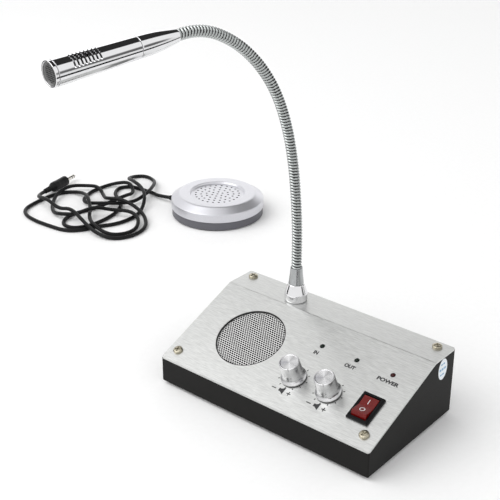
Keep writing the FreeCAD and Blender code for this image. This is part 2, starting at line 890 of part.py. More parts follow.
clamp_inner = v.basket_radius + v.snug_fit
clamp_ring = turned(
    "speaker_clamp_ring",
    [
        (clamp_inner, -v.plate_thickness),
        (v.clamp_ring_radius, -v.plate_thickness),
        (v.clamp_ring_radius, flange_bottom - v.clamp_lip_thickness),
        (v.basket_radius - v.clamp_lip, flange_bottom - v.clamp_lip_thickness),
        (v.basket_radius - v.clamp_lip, flange_bottom),
        (clamp_inner, flange_bottom),
    ],
)
keep(clamp_ring, speaker_place)

# Volume controls: potentiometer, its washer and nut on the plate, the turning shaft and the knob.
pot_names = ["in", "out"]
shaft_bore = v.pot_shaft_radius + v.pot_running_gap
washer_master = turned(
    "pot_washer_master",
    ring_outline(v.pot_bushing_radius + v.pot_hole_clearance, v.washer_radius, ZERO, v.washer_thickness),
)
nut_master = new_body("pot_nut_master")
nut_sketch = new_sketch(
    nut_master,
    "nut_outline",
    "XY_Plane",
    [hexagon(v.pot_nut_reach)],
    [(ZERO, ZERO, v.pot_bushing_radius + v.snug_fit)],
    lift=v.washer_thickness,
)
pad(nut_master, "nut_body", nut_sketch, v.pot_nut_height)

flare_start = v.knob_skirt_height + v.knob_float
flare_shares = [(0.62, 0.12), (0.3, 0.36), (0.09, 0.68)]
knob_flare = [
    (
        v.knob_waist_radius + (v.knob_skirt_radius - v.knob_waist_radius) * out,
        flare_start + (v.knob_waist_height - flare_start) * up,
    )
    for out, up in flare_shares
]

pot_master = turned(
    "pot_master",
    [
        (shaft_bore, v.pot_bushing_height),
        (v.pot_bushing_radius, v.pot_bushing_height),
        (v.pot_bushing_radius, -v.plate_thickness),
        (v.pot_body_radius, -v.plate_thickness),
        (v.pot_body_radius, -(v.plate_thickness + v.pot_body_height)),
        (shaft_bore, -(v.plate_thickness + v.pot_body_height)),
    ],
)
keep_group("volume_pots", [pot_master], [on_slope(x, s) for x, s in knob_places])

for name, (knob_x, knob_s) in zip(pot_names, knob_places):
    where = on_slope(knob_x, knob_s)
    shaft = turned(
        f"pot_shaft_{name}",
        [
            (ZERO, -(v.plate_thickness + v.pot_shaft_tail)),
            (v.pot_shaft_radius, -(v.plate_thickness + v.pot_shaft_tail)),
            (v.pot_shaft_radius, v.pot_shaft_height),
            (ZERO, v.pot_shaft_height),
        ],
    )
    keep(shaft, where)
    knob = turned(
        f"knob_{name}",
        [
            (v.knob_hollow_radius, v.knob_float),
            (v.knob_skirt_radius, v.knob_float),
            (v.knob_skirt_radius, flare_start),
            *knob_flare,
            (v.knob_waist_radius, v.knob_waist_height),
            (v.knob_top_radius, v.knob_height - v.knob_edge),
            (v.knob_top_radius - v.knob_edge, v.knob_height),
            (v.knob_top_radius - v.knob_rim, v.knob_height),
            (v.knob_top_radius - v.knob_rim - v.knob_dish, v.knob_height - v.knob_dish),
            (ZERO, v.knob_height - v.knob_dish),
            (ZERO, v.pot_shaft_height + v.pot_running_gap),
            (shaft_bore, v.pot_shaft_height + v.pot_running_gap),
            (shaft_bore, v.knob_hollow_depth),
            (v.knob_hollow_radius, v.knob_hollow_depth),
        ],
    )
    mark = centred_box(
        ZERO,
        -(v.knob_waist_radius - v.knob_mark_depth + v.overrun / 2),
        v.knob_mark_width,
        v.knob_mark_depth * 2 + v.overrun,
    )
    mark_sketch = new_sketch(knob, f"knob_mark_{name}", "XY_Plane", [mark], lift=v.knob_height)
    pocket(knob, f"knob_notch_{name}", mark_sketch, v.knob_mark_length)
    keep(knob, where.multiply(place(0, 0, 0, Z_AXIS, KNOB_TURN_DEG)))

keep_group("pot_fixings", [washer_master, nut_master], [on_slope(x, s) for x, s in knob_places])

# Indicator lights: three lamps in black push-in holders under the plate.
led_bottom = v.led_rise - v.led_height
led_rim_top = led_bottom + v.led_rim_height
for name, (led_x, led_s) in zip(("in", "out", "power"), led_places):
    led = turned(
        f"led_{name}",
        [
            (ZERO, led_bottom),
            (v.led_rim_radius, led_bottom),
            (v.led_rim_radius, led_rim_top),
            (v.led_radius, led_rim_top),
            (v.led_radius, v.led_rise),
            (ZERO, v.led_rise),
        ],
    )
    round_edges(led, f"led_dome_{name}", v.led_dome, lambda edge: lies_at(edge, "z", v.led_rise))
    keep(led, on_slope(led_x, led_s))
holder = turned(
    "led_holder_master",
    ring_outline(v.led_radius + v.snug_fit, v.led_holder_radius, led_rim_top, -v.plate_thickness),
)
keep_group("led_holders", [holder], [on_slope(x, s) for x, s in led_places])

# Power switch: bezel and body in one moulding, the rocker on its pin, and three blades underneath.
switch_place = on_slope(switch_x, v.switch_slope)
cavity_length = 2 * (v.rocker_reach + v.rocker_end_gap)
cavity_width = v.rocker_width + 2 * v.rocker_side_gap
switch_body = new_body("switch_body")
bezel = new_sketch(
    switch_body,
    "bezel_outline",
    "XY_Plane",
    [centred_box(ZERO, ZERO, v.bezel_width, v.bezel_length)],
)
pad(switch_body, "bezel", bezel, v.bezel_height)
round_edges(switch_body, "bezel_edges", v.bezel_edge, lambda edge: lies_at(edge, "z", v.bezel_height))
body_sketch = new_sketch(
    switch_body,
    "body_outline",
    "XY_Plane",
    [centred_box(ZERO, ZERO, v.switch_body_width, v.switch_body_length)],
)
pad(switch_body, "snap_body", body_sketch, v.switch_body_depth, reverse=True)
well = new_sketch(
    switch_body,
    "well_outline",
    "XY_Plane",
    [centred_box(ZERO, ZERO, cavity_width, cavity_length)],
    lift=v.bezel_height,
)
pocket(switch_body, "well", well, v.bezel_height + v.switch_body_depth - v.switch_floor)
pin_hole = new_sketch(
    switch_body,
    "pin_hole_outline",
    "YZ_Plane",
    circles=[(ZERO, -v.rocker_pivot_depth, v.pin_radius + v.snug_fit)],
    lift=-v.bezel_width,
)
pocket(switch_body, "pin_hole", pin_hole, 2 * v.bezel_width, reverse=True)
keep(switch_body, switch_place)


def rocker_shape():
    """The rocker at its middle position: a shallow V on top, ends that are arcs about the pivot."""
    reach = v.rocker_reach.value
    half_swing = math.radians(ROCKER_SWING_DEG) / 2
    # One end at its highest and at its lowest stand equally far in angle from the middle position.
    high = math.asin(v.rocker_high_end.value / reach)
    middle_angle = high - half_swing
    corner_y = reach * math.cos(middle_angle)
    corner_z = reach * math.sin(middle_angle)
    skirt_angle = math.asin(v.rocker_skirt.value / reach)
    skirt_y = reach * math.cos(skirt_angle)
    skirt_z = -v.rocker_skirt.value
    hub = v.rocker_hub_radius.value
    top = v.rocker_middle.value
    points = [
        FreeCAD.Vector(0, -corner_y, corner_z),
        FreeCAD.Vector(0, 0, top),
        FreeCAD.Vector(0, corner_y, corner_z),
        FreeCAD.Vector(0, skirt_y, skirt_z),
        FreeCAD.Vector(0, hub, -hub),
        FreeCAD.Vector(0, -hub, -hub),
        FreeCAD.Vector(0, -skirt_y, skirt_z),
    ]
    rear_mid = FreeCAD.Vector(0, reach, 0)
    front_mid = FreeCAD.Vector(0, -reach, 0)
    edges = [
        Part.LineSegment(points[0], points[1]).toShape(),
        Part.LineSegment(points[1], points[2]).toShape(),
        Part.Arc(points[2], rear_mid, points[3]).toShape(),
        Part.LineSegment(points[3], points[4]).toShape(),
        Part.LineSegment(points[4], points[5]).toShape(),
        Part.LineSegment(points[5], points[6]).toShape(),
        Part.Arc(points[6], front_mid, points[0]).toShape(),
    ]
    width = v.rocker_width.value
    face = Part.Face(Part.Wire(edges))
    face.translate(FreeCAD.Vector(-width / 2, 0, 0))
    block = face.extrude(FreeCAD.Vector(width, 0, 0))
    above_pin = (v.pin_radius + v.rocker_edge).value
    top_edges = [edge for edge in block.Edges if edge.BoundBox.ZMin > above_pin]
    block = block.makeFillet(v.rocker_edge.value, top_edges)
    bore_radius = (v.pin_radius + v.pin_running_gap).value
    bore = Part.makeCylinder(bore_radius, 2 * width, vector(-width, 0, 0), X_AXIS)
    return block.cut(bore)


rocker_place = switch_place.multiply(place(0, 0, -v.rocker_pivot_depth))
# At rest the rear end is pressed down: the switch is on.
rocker_rest = rocker_place.multiply(place(0, 0, 0, X_AXIS, -ROCKER_SWING_DEG / 2))
keep(solid_feature("switch_rocker", rocker_shape()), rocker_rest)

pin_length = v.switch_body_width
switch_pin = new_body("switch_pin")
pin_outline = new_sketch(
    switch_pin,
    "pin_outline",
    "YZ_Plane",
    circles=[(ZERO, ZERO, v.pin_radius)],
    lift=-(pin_length / 2),
)
pad(switch_pin, "pin", pin_outline, pin_length)
keep(switch_pin, rocker_place)

terminal = new_body("terminal_master")
terminal_sketch = new_sketch(
    terminal,
    "terminal_outline",
    "XY_Plane",
    [centred_box(ZERO, ZERO, v.terminal_width, v.terminal_thickness)],
    lift=-v.switch_body_depth,
)
pad(terminal, "blade", terminal_sketch, v.terminal_length, reverse=True)
terminal_places = [switch_place.multiply(place(0, i * v.terminal_spacing, 0)) for i in (-1, 0, 1)]
keep_group("switch_terminals", [terminal], terminal_places)

# Gooseneck base: hollow stud through the deck, dome nut, satin sleeve, washer and lock nut below.
neck_place = place(neck_x, v.neck_y, v.rear_height)
stud_bottom = -(v.plate_thickness + v.stud_below)
stud = turned("neck_stud", ring_outline(v.stud_bore_radius, v.stud_radius, stud_bottom, v.stud_above))
keep(stud, neck_place)

sleeve_bore = v.neck_radius + v.sleeve_gap
dome_nut = turned(
    "neck_dome_nut",
    [
        (v.stud_radius + v.stud_clearance, ZERO),
        (v.dome_nut_radius - v.dome_nut_foot, ZERO),
        (v.dome_nut_radius, v.dome_nut_foot),
        (v.dome_nut_radius, v.dome_nut_shoulder),
        (v.dome_nut_top_radius, v.dome_nut_height),
        (sleeve_bore, v.dome_nut_height),
        (sleeve_bore, v.stud_above + v.stud_clearance),
        (v.stud_radius + v.stud_clearance, v.stud_above + v.stud_clearance),
    ],
)
round_edges(
    dome_nut,
    "dome",
    v.dome_nut_edge,
    lambda edge: lies_at(edge, "z", v.dome_nut_shoulder) and is_circle(edge, v.dome_nut_radius),
)
keep(dome_nut, neck_place)

sleeve_top = v.dome_nut_height + v.sleeve_height
sleeve_flare_shares = [(0.9, 0.2), (0.42, 0.55), (0.08, 0.84), (0.0, 1.0)]
sleeve_flare = v.sleeve_foot_radius - v.sleeve_top_radius
sleeve = turned(
    "neck_sleeve",
    [(sleeve_bore, v.dome_nut_height), (v.sleeve_foot_radius, v.dome_nut_height)]
    + [
        (v.sleeve_top_radius + sleeve_flare * out, v.dome_nut_height + v.sleeve_height * up)
        for out, up in sleeve_flare_shares
    ]
    + [(sleeve_bore, sleeve_top)],
)
keep(sleeve, neck_place)

neck_washer = turned(
    "neck_washer_master",
    ring_outline(
        v.stud_radius + v.stud_clearance,
        v.neck_washer_radius,
        -(v.plate_thickness + v.neck_washer_thickness),
        -v.plate_thickness,
    ),
)
lock_nut = new_body("lock_nut_master")
lock_nut_sketch = new_sketch(
    lock_nut,
    "lock_nut_outline",
    "XY_Plane",
    [hexagon(v.lock_nut_reach)],
    [(ZERO, ZERO, v.stud_radius + v.snug_fit)],
    lift=-(v.plate_thickness + v.neck_washer_thickness),
)
pad(lock_nut, "lock_nut_body", lock_nut_sketch, v.lock_nut_height, reverse=True)
keep_group("neck_fixings", [neck_washer, lock_nut], [neck_place])

# Gooseneck: a wound steel tube. Its centreline lies in one upright plane and is a chain of arcs; each
# link is one stretch of the winding with its bore, and the gap between two links is one groove wide.
azimuth = math.radians(NECK_AZIMUTH_DEG)
NECK_FORWARD = FreeCAD.Vector(-math.sin(azimuth), -math.cos(azimuth), 0)
NECK_HINGE = FreeCAD.Vector(math.cos(azimuth), -math.sin(azimuth), 0)


def neck_frame(point, heading):
    """A place on the centreline: local X stays along the hinge axis, local Z along the tube."""
    along = Z_AXIS * math.cos(heading) + NECK_FORWARD * math.sin(heading)
    rotation = FreeCAD.Rotation(NECK_HINGE, along.cross(NECK_HINGE), along, "ZXY")
    return FreeCAD.Placement(point, rotation)


def advance(point, heading, length, turn):
    """The point and heading after an arc of that length and turn, forwards and down."""
    if abs(turn) < 1e-9:
        along = Z_AXIS * math.cos(heading) + NECK_FORWARD * math.sin(heading)
        return point + along * length, heading
    radius = length / turn
    rise = radius * (math.sin(heading + turn) - math.sin(heading))
    reach = radius * (math.cos(heading) - math.cos(heading + turn))
    return point + Z_AXIS * rise + NECK_FORWARD * reach, heading + turn


def wound_stretch(point, heading, length, turn, skip_start, skip_end):
    """One link's solid: a ruled loft through four circles for each rib, bored through."""
    start = skip_start
    usable = length - skip_start - skip_end
    ribs = max(1, round(usable / v.rib_pitch.value))
    pitch = usable / ribs
    profile_shares = [(0.0, 0), (0.32, 1), (0.68, 1)]
    stations = []
    for rib in range(ribs):
        stations += [(start + (rib + share) * pitch, crest) for share, crest in profile_shares]
    stations.append((start + usable, 0))
    rings = []
    bores = []
    for along, crest in stations:
        centre, direction = advance(point, heading, along, turn * along / length)
        frame = neck_frame(centre, direction)
        radius = v.neck_radius.value if crest else v.neck_root_radius.value
        ring = Part.Wire(Part.makeCircle(radius))
        ring.Placement = frame
        rings.append(ring)
    skin = Part.makeLoft(rings, True, True)
    first, facing = advance(point, heading, start, turn * start / length)
    disc = Part.Face(Part.Wire(Part.makeCircle(v.neck_bore_radius.value)))
    disc.Placement = neck_frame(first, facing)
    if abs(turn) < 1e-9:
        along = Z_AXIS * math.cos(heading) + NECK_FORWARD * math.sin(heading)
        bore = disc.extrude(along * usable)
    else:
        radius = length / turn
        inward = NECK_FORWARD * math.cos(heading) - Z_AXIS * math.sin(heading)
        hub = point + inward * radius
        bore = disc.revolve(hub, NECK_HINGE, math.degrees(turn * usable / length))
    return skin.cut(bore)


neck_point = vector(neck_x, v.neck_y, v.rear_height)
middle_links = len(LINK_TURNS) - 2
link_lengths = [v.neck_straight.value] + [v.link_length.value] * middle_links + [v.last_link_arc.value]
half_gap = v.link_gap.value / 2
heading = 0.0
neck_joints = []
for number, (length, turn_deg) in enumerate(zip(link_lengths, LINK_TURNS), start=1):
    turn = math.radians(turn_deg)
    is_first = number == 1
    is_last = number == len(LINK_TURNS)
    skip_start = v.stud_above.value if is_first else half_gap
    skip_end = 0.0 if is_last else half_gap
    shape = wound_stretch(neck_point, heading, length, turn, skip_start, skip_end)
    if not is_first:
        neck_joints.append((neck_point, heading))
    neck_point, heading = advance(neck_point, heading, length, turn)
    if is_last:
        tail = v.neck_tail.value + v.neck_insert.value
        shape = shape.fuse(wound_stretch(neck_point, heading, tail, 0.0, 0.0, 0.0)).removeSplitter()
        neck_point, heading = advance(neck_point, heading, v.neck_tail.value, 0.0)
    keep(solid_feature(f"neck_link_{number}", shape))

# Microphone head: tapered rear cone, slotted tube, front bezel with its mesh, and the capsule in rubber.
mic_place = neck_frame(neck_point, heading)
swell_shares = [(0.25, 0.75), (0.5, 1.0), (0.75, 0.75)]
cone_growth = v.mic_radius - v.mic_cone_rear_radius
cone_side = [
    (
        v.mic_cone_rear_radius + cone_growth * share + v.mic_cone_swell * swell,
        v.mic_cone_length * share,
    )
    for share, swell in swell_shares
]
tube_inner = v.mic_radius - v.mic_wall
spigot_radius = tube_inner - v.snug_fit
insert_bore = v.neck_radius + v.snug_fit
mic_cone = turned(
    "mic_cone",
    [(insert_bore, ZERO), (v.mic_cone_rear_radius, ZERO)]
    + cone_side
    + [
        (v.mic_radius, v.mic_cone_length),
        (spigot_radius, v.mic_cone_length),
        (spigot_radius, v.mic_cone_length + v.mic_joint_gap + v.mic_spigot),
        (spigot_radius - v.mic_wall, v.mic_cone_length + v.mic_joint_gap + v.mic_spigot),
        (spigot_radius - v.mic_wall, v.mic_cone_length / 2),
        (v.stud_bore_radius, v.mic_cone_length / 4),
        (v.stud_bore_radius, v.neck_insert),
        (insert_bore, v.neck_insert),
    ],
)
keep(mic_cone, mic_place)

tube_start = v.mic_cone_length + v.mic_joint_gap
tube_end = tube_start + v.mic_tube_length
front_inner = v.mic_front_radius - v.mic_wall
mic_tube = turned(
    "mic_tube",
    [
        (tube_inner, tube_start),
        (v.mic_radius, tube_start),
        (v.mic_front_radius, tube_end),
        (front_inner, tube_end),
    ],
)
slot_boxes = []
for i in range(SLOT_COUNT):
    slot_end = tube_end + v.mic_bezel_length - v.mic_slot_start - i * v.mic_slot_pitch
    for side in (-1, 1):
        near = side * v.mic_slot_cut
        far = side * (v.mic_front_radius + v.overrun)
        slot_boxes.append(
            [
                (near, slot_end - v.mic_slot_width),
                (far, slot_end - v.mic_slot_width),
                (far, slot_end),
                (near, slot_end),
            ]
        )
slot_reach = v.mic_front_radius + v.overrun
slot_sketch = new_sketch(mic_tube, "slot_outlines", "YZ_Plane", slot_boxes, lift=-slot_reach)
pocket(mic_tube, "slots", slot_sketch, 2 * slot_reach, reverse=True)
keep(mic_tube, mic_place.multiply(place(0, 0, 0, Z_AXIS, SLOT_TURN_DEG)))


def tube_fit(back):
    """Radius of what fits in the tapered tube, that far behind its front end."""
    return front_inner - (front_inner - tube_inner) * (back / v.mic_tube_length) - v.snug_fit


bezel_tail = v.mic_spigot / 2

bezel_start = tube_end
bezel_end = bezel_start + v.mic_bezel_length
mesh_seat = bezel_end - v.mic_mesh_recess - v.mic_mesh_thickness
mic_bezel = turned(
    "mic_bezel",
    [
        (v.capsule_radius, bezel_start - bezel_tail),
        (tube_fit(bezel_tail), bezel_start - bezel_tail),
        (tube_fit(bezel_tail), bezel_start + v.mic_joint_gap),
        (v.mic_front_radius, bezel_start + v.mic_joint_gap),
        (v.mic_front_radius, bezel_end - v.mic_bezel_edge),
        (v.mic_front_radius - v.mic_bezel_edge, bezel_end),
        (v.mic_front_radius - v.mic_bezel_lip, bezel_end),
        (v.mic_front_radius - v.mic_bezel_lip, mesh_seat),
        (v.capsule_radius, mesh_seat),
    ],
)
keep(mic_bezel, mic_place)

mic_mesh_radius = v.mic_front_radius - v.mic_bezel_lip - v.snug_fit
mic_mesh = perforated_disc(
    "mic_mesh",
    mic_mesh_radius,
    v.mic_mesh_thickness,
    v.mic_mesh_pitch,
    v.mic_mesh_hole_radius,
    mesh_seat,
)
keep(mic_mesh, mic_place)

seat_end = bezel_start - bezel_tail
seat_start = seat_end - v.capsule_seat_length
capsule_seat = turned(
    "mic_capsule_seat",
    [
        (v.capsule_radius, seat_start),
        (tube_fit(bezel_tail + v.capsule_seat_length), seat_start),
        (tube_fit(bezel_tail), seat_end),
        (v.capsule_radius, seat_end),
    ],
)
keep(capsule_seat, mic_place)
capsule = turned(
    "mic_capsule",
    [
        (ZERO, seat_end - v.capsule_length),
        (v.capsule_radius - v.snug_fit, seat_end - v.capsule_length),
        (v.capsule_radius - v.snug_fit, seat_end),
        (ZERO, seat_end),
    ],
)
keep(capsule, mic_place)

# Amplifier board on four standoffs, with its chips, heat sink, capacitors and plug blocks.
board_place = place(board_x, v.board_y, v.housing_wall + v.standoff_height)
board_holes = [
    (x, y)
    for x in (v.board_hole_inset, v.board_width - v.board_hole_inset)
    for y in (v.board_hole_inset, v.board_length - v.board_hole_inset)
]
board = new_body("amp_board")
board_sketch = new_sketch(
    board,
    "board_outline",
    "XY_Plane",
    [box_outline(ZERO, v.board_width, ZERO, v.board_length)],
    [(x, y, v.board_screw_radius + v.screw_clearance) for x, y in board_holes],
)
pad(board, "board_sheet", board_sketch, v.board_thickness)
keep(board, board_place)

standoff = turned(
    "standoff_master",
    ring_outline(v.board_screw_radius + v.snug_fit, v.standoff_radius, -v.standoff_height, ZERO),
)
board_screw = turned(
    "board_screw_master",
    [
        (ZERO, -v.standoff_height / 2),
        (v.board_screw_radius, -v.standoff_height / 2),
        (v.board_screw_radius, v.board_thickness),
        (v.board_screw_head_radius, v.board_thickness),
        (v.board_screw_head_radius, v.board_thickness + v.board_screw_head_height),
        (ZERO, v.board_thickness + v.board_screw_head_height),
    ],
)
hole_places = [board_place.multiply(place(x, y, 0)) for x, y in board_holes]
keep_group("board_fixings", [standoff, board_screw], hole_places)


def board_box(x_share, y_share, width, length, height):
    """A part standing on the board: its middle lies at these shares of the board's sides."""
    corner = vector(
        v.board_width * x_share - width / 2,
        v.board_length * y_share - length / 2,
        v.board_thickness,
    )
    return Part.makeBox(width.value, length.value, height.value, corner)


def heat_sink():
    """A finned block that leans against nothing: five fins on a common back."""
    corner_share = (0.5, 0.42)
    back = board_box(*corner_share, v.heat_sink_width, v.heat_sink_fin, v.heat_sink_height)
    fins = []
    fin_count = 5
    step = (v.heat_sink_width - v.heat_sink_fin) / (fin_count - 1)
    left = v.board_width * corner_share[0] - v.heat_sink_width / 2
    front = v.board_length * corner_share[1]
    for i in range(fin_count):
        corner = vector(left + step * i, front, v.board_thickness)
        fins.append(
            Part.makeBox(
                v.heat_sink_fin.value,
                v.heat_sink_depth.value,
                v.heat_sink_height.value,
                corner,
            )
        )
    return back.multiFuse(fins).removeSplitter()


chip_shares = [(0.22, 0.62), (0.78, 0.62), (0.22, 0.18)]
chips = [board_box(a, b, v.chip_width, v.chip_length, v.chip_height) for a, b in chip_shares]
capacitor_shares = [(0.42, 0.8), (0.62, 0.8), (0.8, 0.3), (0.5, 0.2)]
capacitors = [
    Part.makeCylinder(
        v.capacitor_radius.value,
        v.capacitor_height.value,
        vector(v.board_width * a, v.board_length * b, v.board_thickness),
    )
    for a, b in capacitor_shares
]
block_shares = [(0.3, 0.93), (0.5, 0.93), (0.7, 0.93), (0.5, 0.06)]
plug_blocks = [
    board_box(a, b, v.plug_block_width, v.plug_block_depth, v.plug_block_height) for a, b in block_shares
]
board_items = chips + capacitors + plug_blocks + [heat_sink()]
keep(solid_feature("board_components", Part.makeCompound(board_items)), board_place)

# Sockets in the rear wall: the power inlet, and the socket for the window unit's plug.
inlet = turned(
    "power_inlet",
    [
        (v.inlet_bore_radius, v.inlet_flange_height),
        (v.inlet_flange_radius, v.inlet_flange_height),
        (v.inlet_flange_radius, ZERO),
        (v.inlet_barrel_radius, ZERO),
        (v.inlet_barrel_radius, v.inlet_flange_height - v.inlet_barrel_length - v.inlet_flange_height),
        (ZERO, v.inlet_flange_height - v.inlet_barrel_length - v.inlet_flange_height),
        (ZERO, v.inlet_flange_height - v.inlet_pin_inset),
        (v.inlet_pin_radius, v.inlet_flange_height - v.inlet_pin_inset),
        (v.inlet_pin_radius, v.inlet_flange_height - v.inlet_bore_depth),
        (v.inlet_bore_radius, v.inlet_flange_height - v.inlet_bore_depth),
    ],
)
keep(inlet, on_rear_wall(inlet_x, v.rear_socket_height))
socket_back = v.socket_nose_length - v.socket_bore_length
socket = turned(
    "window_socket",
    [
        (v.socket_bore_radius, v.socket_nose_length),
        (v.socket_nose_radius, v.socket_nose_length),
        (v.socket_nose_radius, -v.housing_wall),
        (v.socket_body_radius, -v.housing_wall),
        (v.socket_body_radius, -(v.housing_wall + v.socket_body_length)),
        (ZERO, -(v.housing_wall + v.socket_body_length)),
        (ZERO, socket_back),
        (v.socket_bore_radius, socket_back),
    ],
)
keep(socket, on_rear_wall(socket_x, v.rear_socket_height))
socket_nut = turned(
    "socket_nut",
    ring_outline(v.socket_nose_radius + v.snug_fit, v.socket_nut_radius, ZERO, v.socket_nut_height),
)
keep(socket_nut, on_rear_wall(socket_x, v.rear_socket_height))

# Rubber feet under the corners, and the oval paper label on the right wall.
foot = turned(
    "foot_master",
    [
        (ZERO, -v.foot_height),
        (v.foot_radius - v.foot_edge, -v.foot_height),
        (v.foot_radius, v.foot_edge - v.foot_height),
        (v.foot_radius, ZERO),
        (ZERO, ZERO),
    ],
)
foot_places = [
    place(x, y, 0)
    for x in (v.foot_inset, v.console_width - v.foot_inset)
    for y in (v.foot_inset, v.console_depth - v.foot_inset)
]
keep_group("rubber_feet", [foot], foot_places)

oval = Part.Ellipse(vector(0, 0, 0), v.label_half_height.value, v.label_half_width.value).toShape()
label_face = Part.Face(Part.Wire(oval))
label = solid_feature("side_label", label_face.extrude(vector(0, 0, v.label_thickness)))
label_rotation = FreeCAD.Rotation(Z_AXIS, Y_AXIS, X_AXIS, "ZXY")
keep(label, FreeCAD.Placement(vector(v.console_width, v.label_y, v.label_z), label_rotation))

# Window unit: silver cover over a dark base ring, drawn about its own axis on the counter.
puck_place = place(-v.puck_left_of_console, v.puck_behind_front, -v.foot_height)
puck_ring_radius = v.puck_radius - v.puck_shoulder_width
puck_recess_radius = puck_ring_radius - v.puck_ring_width
puck_hole_spacing = (puck_recess_radius - v.puck_hole_margin) / len(PUCK_HOLE_RINGS)
puck_pinhole_place = v.puck_radius - v.puck_pinhole_inset
puck_base_radius = v.puck_radius - v.puck_base_inset
puck_pad_radius = puck_base_radius - v.puck_pad_inset
puck_speaker_radius = puck_recess_radius - v.puck_speaker_inset
shoulder_z = v.puck_height - v.puck_shoulder_drop
recess_floor = v.puck_height - v.puck_recess_depth
cover = turned(
    "puck_cover",
    [
        (v.puck_radius - v.puck_wall, v.puck_base_height),
        (v.puck_radius, v.puck_base_height),
        (v.puck_radius, shoulder_z),
        (puck_ring_radius + v.puck_ring_edge, v.puck_height - v.puck_ring_edge / 2),
        (puck_ring_radius, v.puck_height),
        (puck_recess_radius + v.puck_recess_slope, v.puck_height),
        (puck_recess_radius, recess_floor),
        (ZERO, recess_floor),
        (ZERO, recess_floor - v.puck_wall),
        (puck_recess_radius + v.puck_recess_slope, recess_floor - v.puck_wall),
        (puck_recess_radius + 2 * v.puck_recess_slope, v.puck_height - v.puck_wall),
        (puck_ring_radius - v.puck_ring_edge, v.puck_height - v.puck_wall),
        (v.puck_radius - v.puck_wall, shoulder_z - v.puck_wall / 2),
    ],
)
centre_hole = new_sketch(
    cover,
    "centre_hole_outline",
    "XY_Plane",
    circles=[(ZERO, ZERO, v.puck_hole_radius)],
    lift=recess_floor,
)
pocket(cover, "centre_hole", centre_hole, v.puck_wall + v.overrun)
for ring, count in enumerate(PUCK_HOLE_RINGS, start=1):
    ring_hole = new_sketch(
        cover,
        f"ring_hole_outline_{ring}",
        "XY_Plane",
        circles=[(puck_hole_spacing * ring, ZERO, v.puck_hole_radius)],
        lift=recess_floor,
    )
    first_hole = pocket(cover, f"ring_hole_{ring}", ring_hole, v.puck_wall + v.overrun)
    pattern = cover.newObject("PartDesign::PolarPattern", f"ring_holes_{ring}")
    pattern.Originals = [first_hole]
    pattern.Axis = (ring_hole, ["N_Axis"])
    pattern.Angle = FULL_TURN_DEG
    pattern.Occurrences = count
    cover.Tip = pattern
pinhole_turn_deg = 150.0 + NECK_AZIMUTH_DEG
pinhole_turn = math.radians(pinhole_turn_deg)
pinhole = new_sketch(
    cover,
    "pinhole_outline",
    "XY_Plane",
    circles=[
        (
            puck_pinhole_place * math.cos(pinhole_turn),
            puck_pinhole_place * math.sin(pinhole_turn),
            v.puck_pinhole_radius,
        )
    ],
    lift=v.puck_height,
)
pocket(cover, "pinhole", pinhole, v.puck_shoulder_drop + v.puck_wall)
keep(cover, puck_place)

base_bottom = v.puck_pad_thickness
puck_base = turned(
    "puck_base",
    [
        (ZERO, base_bottom),
        (puck_base_radius - v.puck_base_step, base_bottom),
        (puck_base_radius, base_bottom + v.puck_base_step),
        (puck_base_radius, v.puck_base_height),
        (v.puck_radius - v.puck_wall - v.puck_fit, v.puck_base_height),
        (v.puck_radius - v.puck_wall - v.puck_fit, v.puck_base_height + v.puck_spigot_height),
        (v.puck_radius - 2 * v.puck_wall, v.puck_base_height + v.puck_spigot_height),
        (v.puck_radius - 2 * v.puck_wall, base_bottom + v.puck_base_floor),
        (ZERO, base_bottom + v.puck_base_floor),
    ],
)
grommet_hole = new_sketch(
    puck_base,
    "grommet_hole_outline",
    "YZ_Plane",
    circles=[(ZERO, v.grommet_height, v.grommet_radius - v.grommet_flange / 2)],
    lift=puck_ring_radius,
)
pocket(puck_base, "grommet_hole", grommet_hole, v.puck_radius, reverse=True)
exit_place = place(0, 0, 0, Z_AXIS, PUCK_EXIT_DEG)
keep(puck_base, puck_place.multiply(exit_place))

wall_inner = v.puck_radius - 2 * v.puck_wall
grommet_neck_radius = v.grommet_radius - v.grommet_flange / 2 - v.grommet_fit
grommet = turned(
    "puck_grommet",
    [
        (v.cord_radius, wall_inner - v.grommet_flange),
        (v.grommet_radius, wall_inner - v.grommet_flange),
        (v.grommet_radius, wall_inner),
        (grommet_neck_radius, wall_inner),
        (grommet_neck_radius, v.puck_radius + v.puck_fit),
        (v.grommet_flange_radius, v.puck_radius + v.puck_fit),
        (v.grommet_flange_radius, v.puck_radius + v.puck_fit + v.grommet_flange),
        (v.cord_radius + v.grommet_lip, v.puck_radius + v.grommet_length),
        (v.cord_radius, v.puck_radius + v.grommet_length),
    ],
)
grommet_tilt = place(0, 0, v.grommet_height, Y_AXIS, 90.0)
keep(grommet, puck_place.multiply(exit_place).multiply(grommet_tilt))

pad_piece = turned(
    "puck_pad",
    [
        (ZERO, ZERO),
        (puck_pad_radius, ZERO),
        (puck_pad_radius, v.puck_pad_thickness),
        (ZERO, v.puck_pad_thickness),
    ],
)
keep(pad_piece, puck_place)

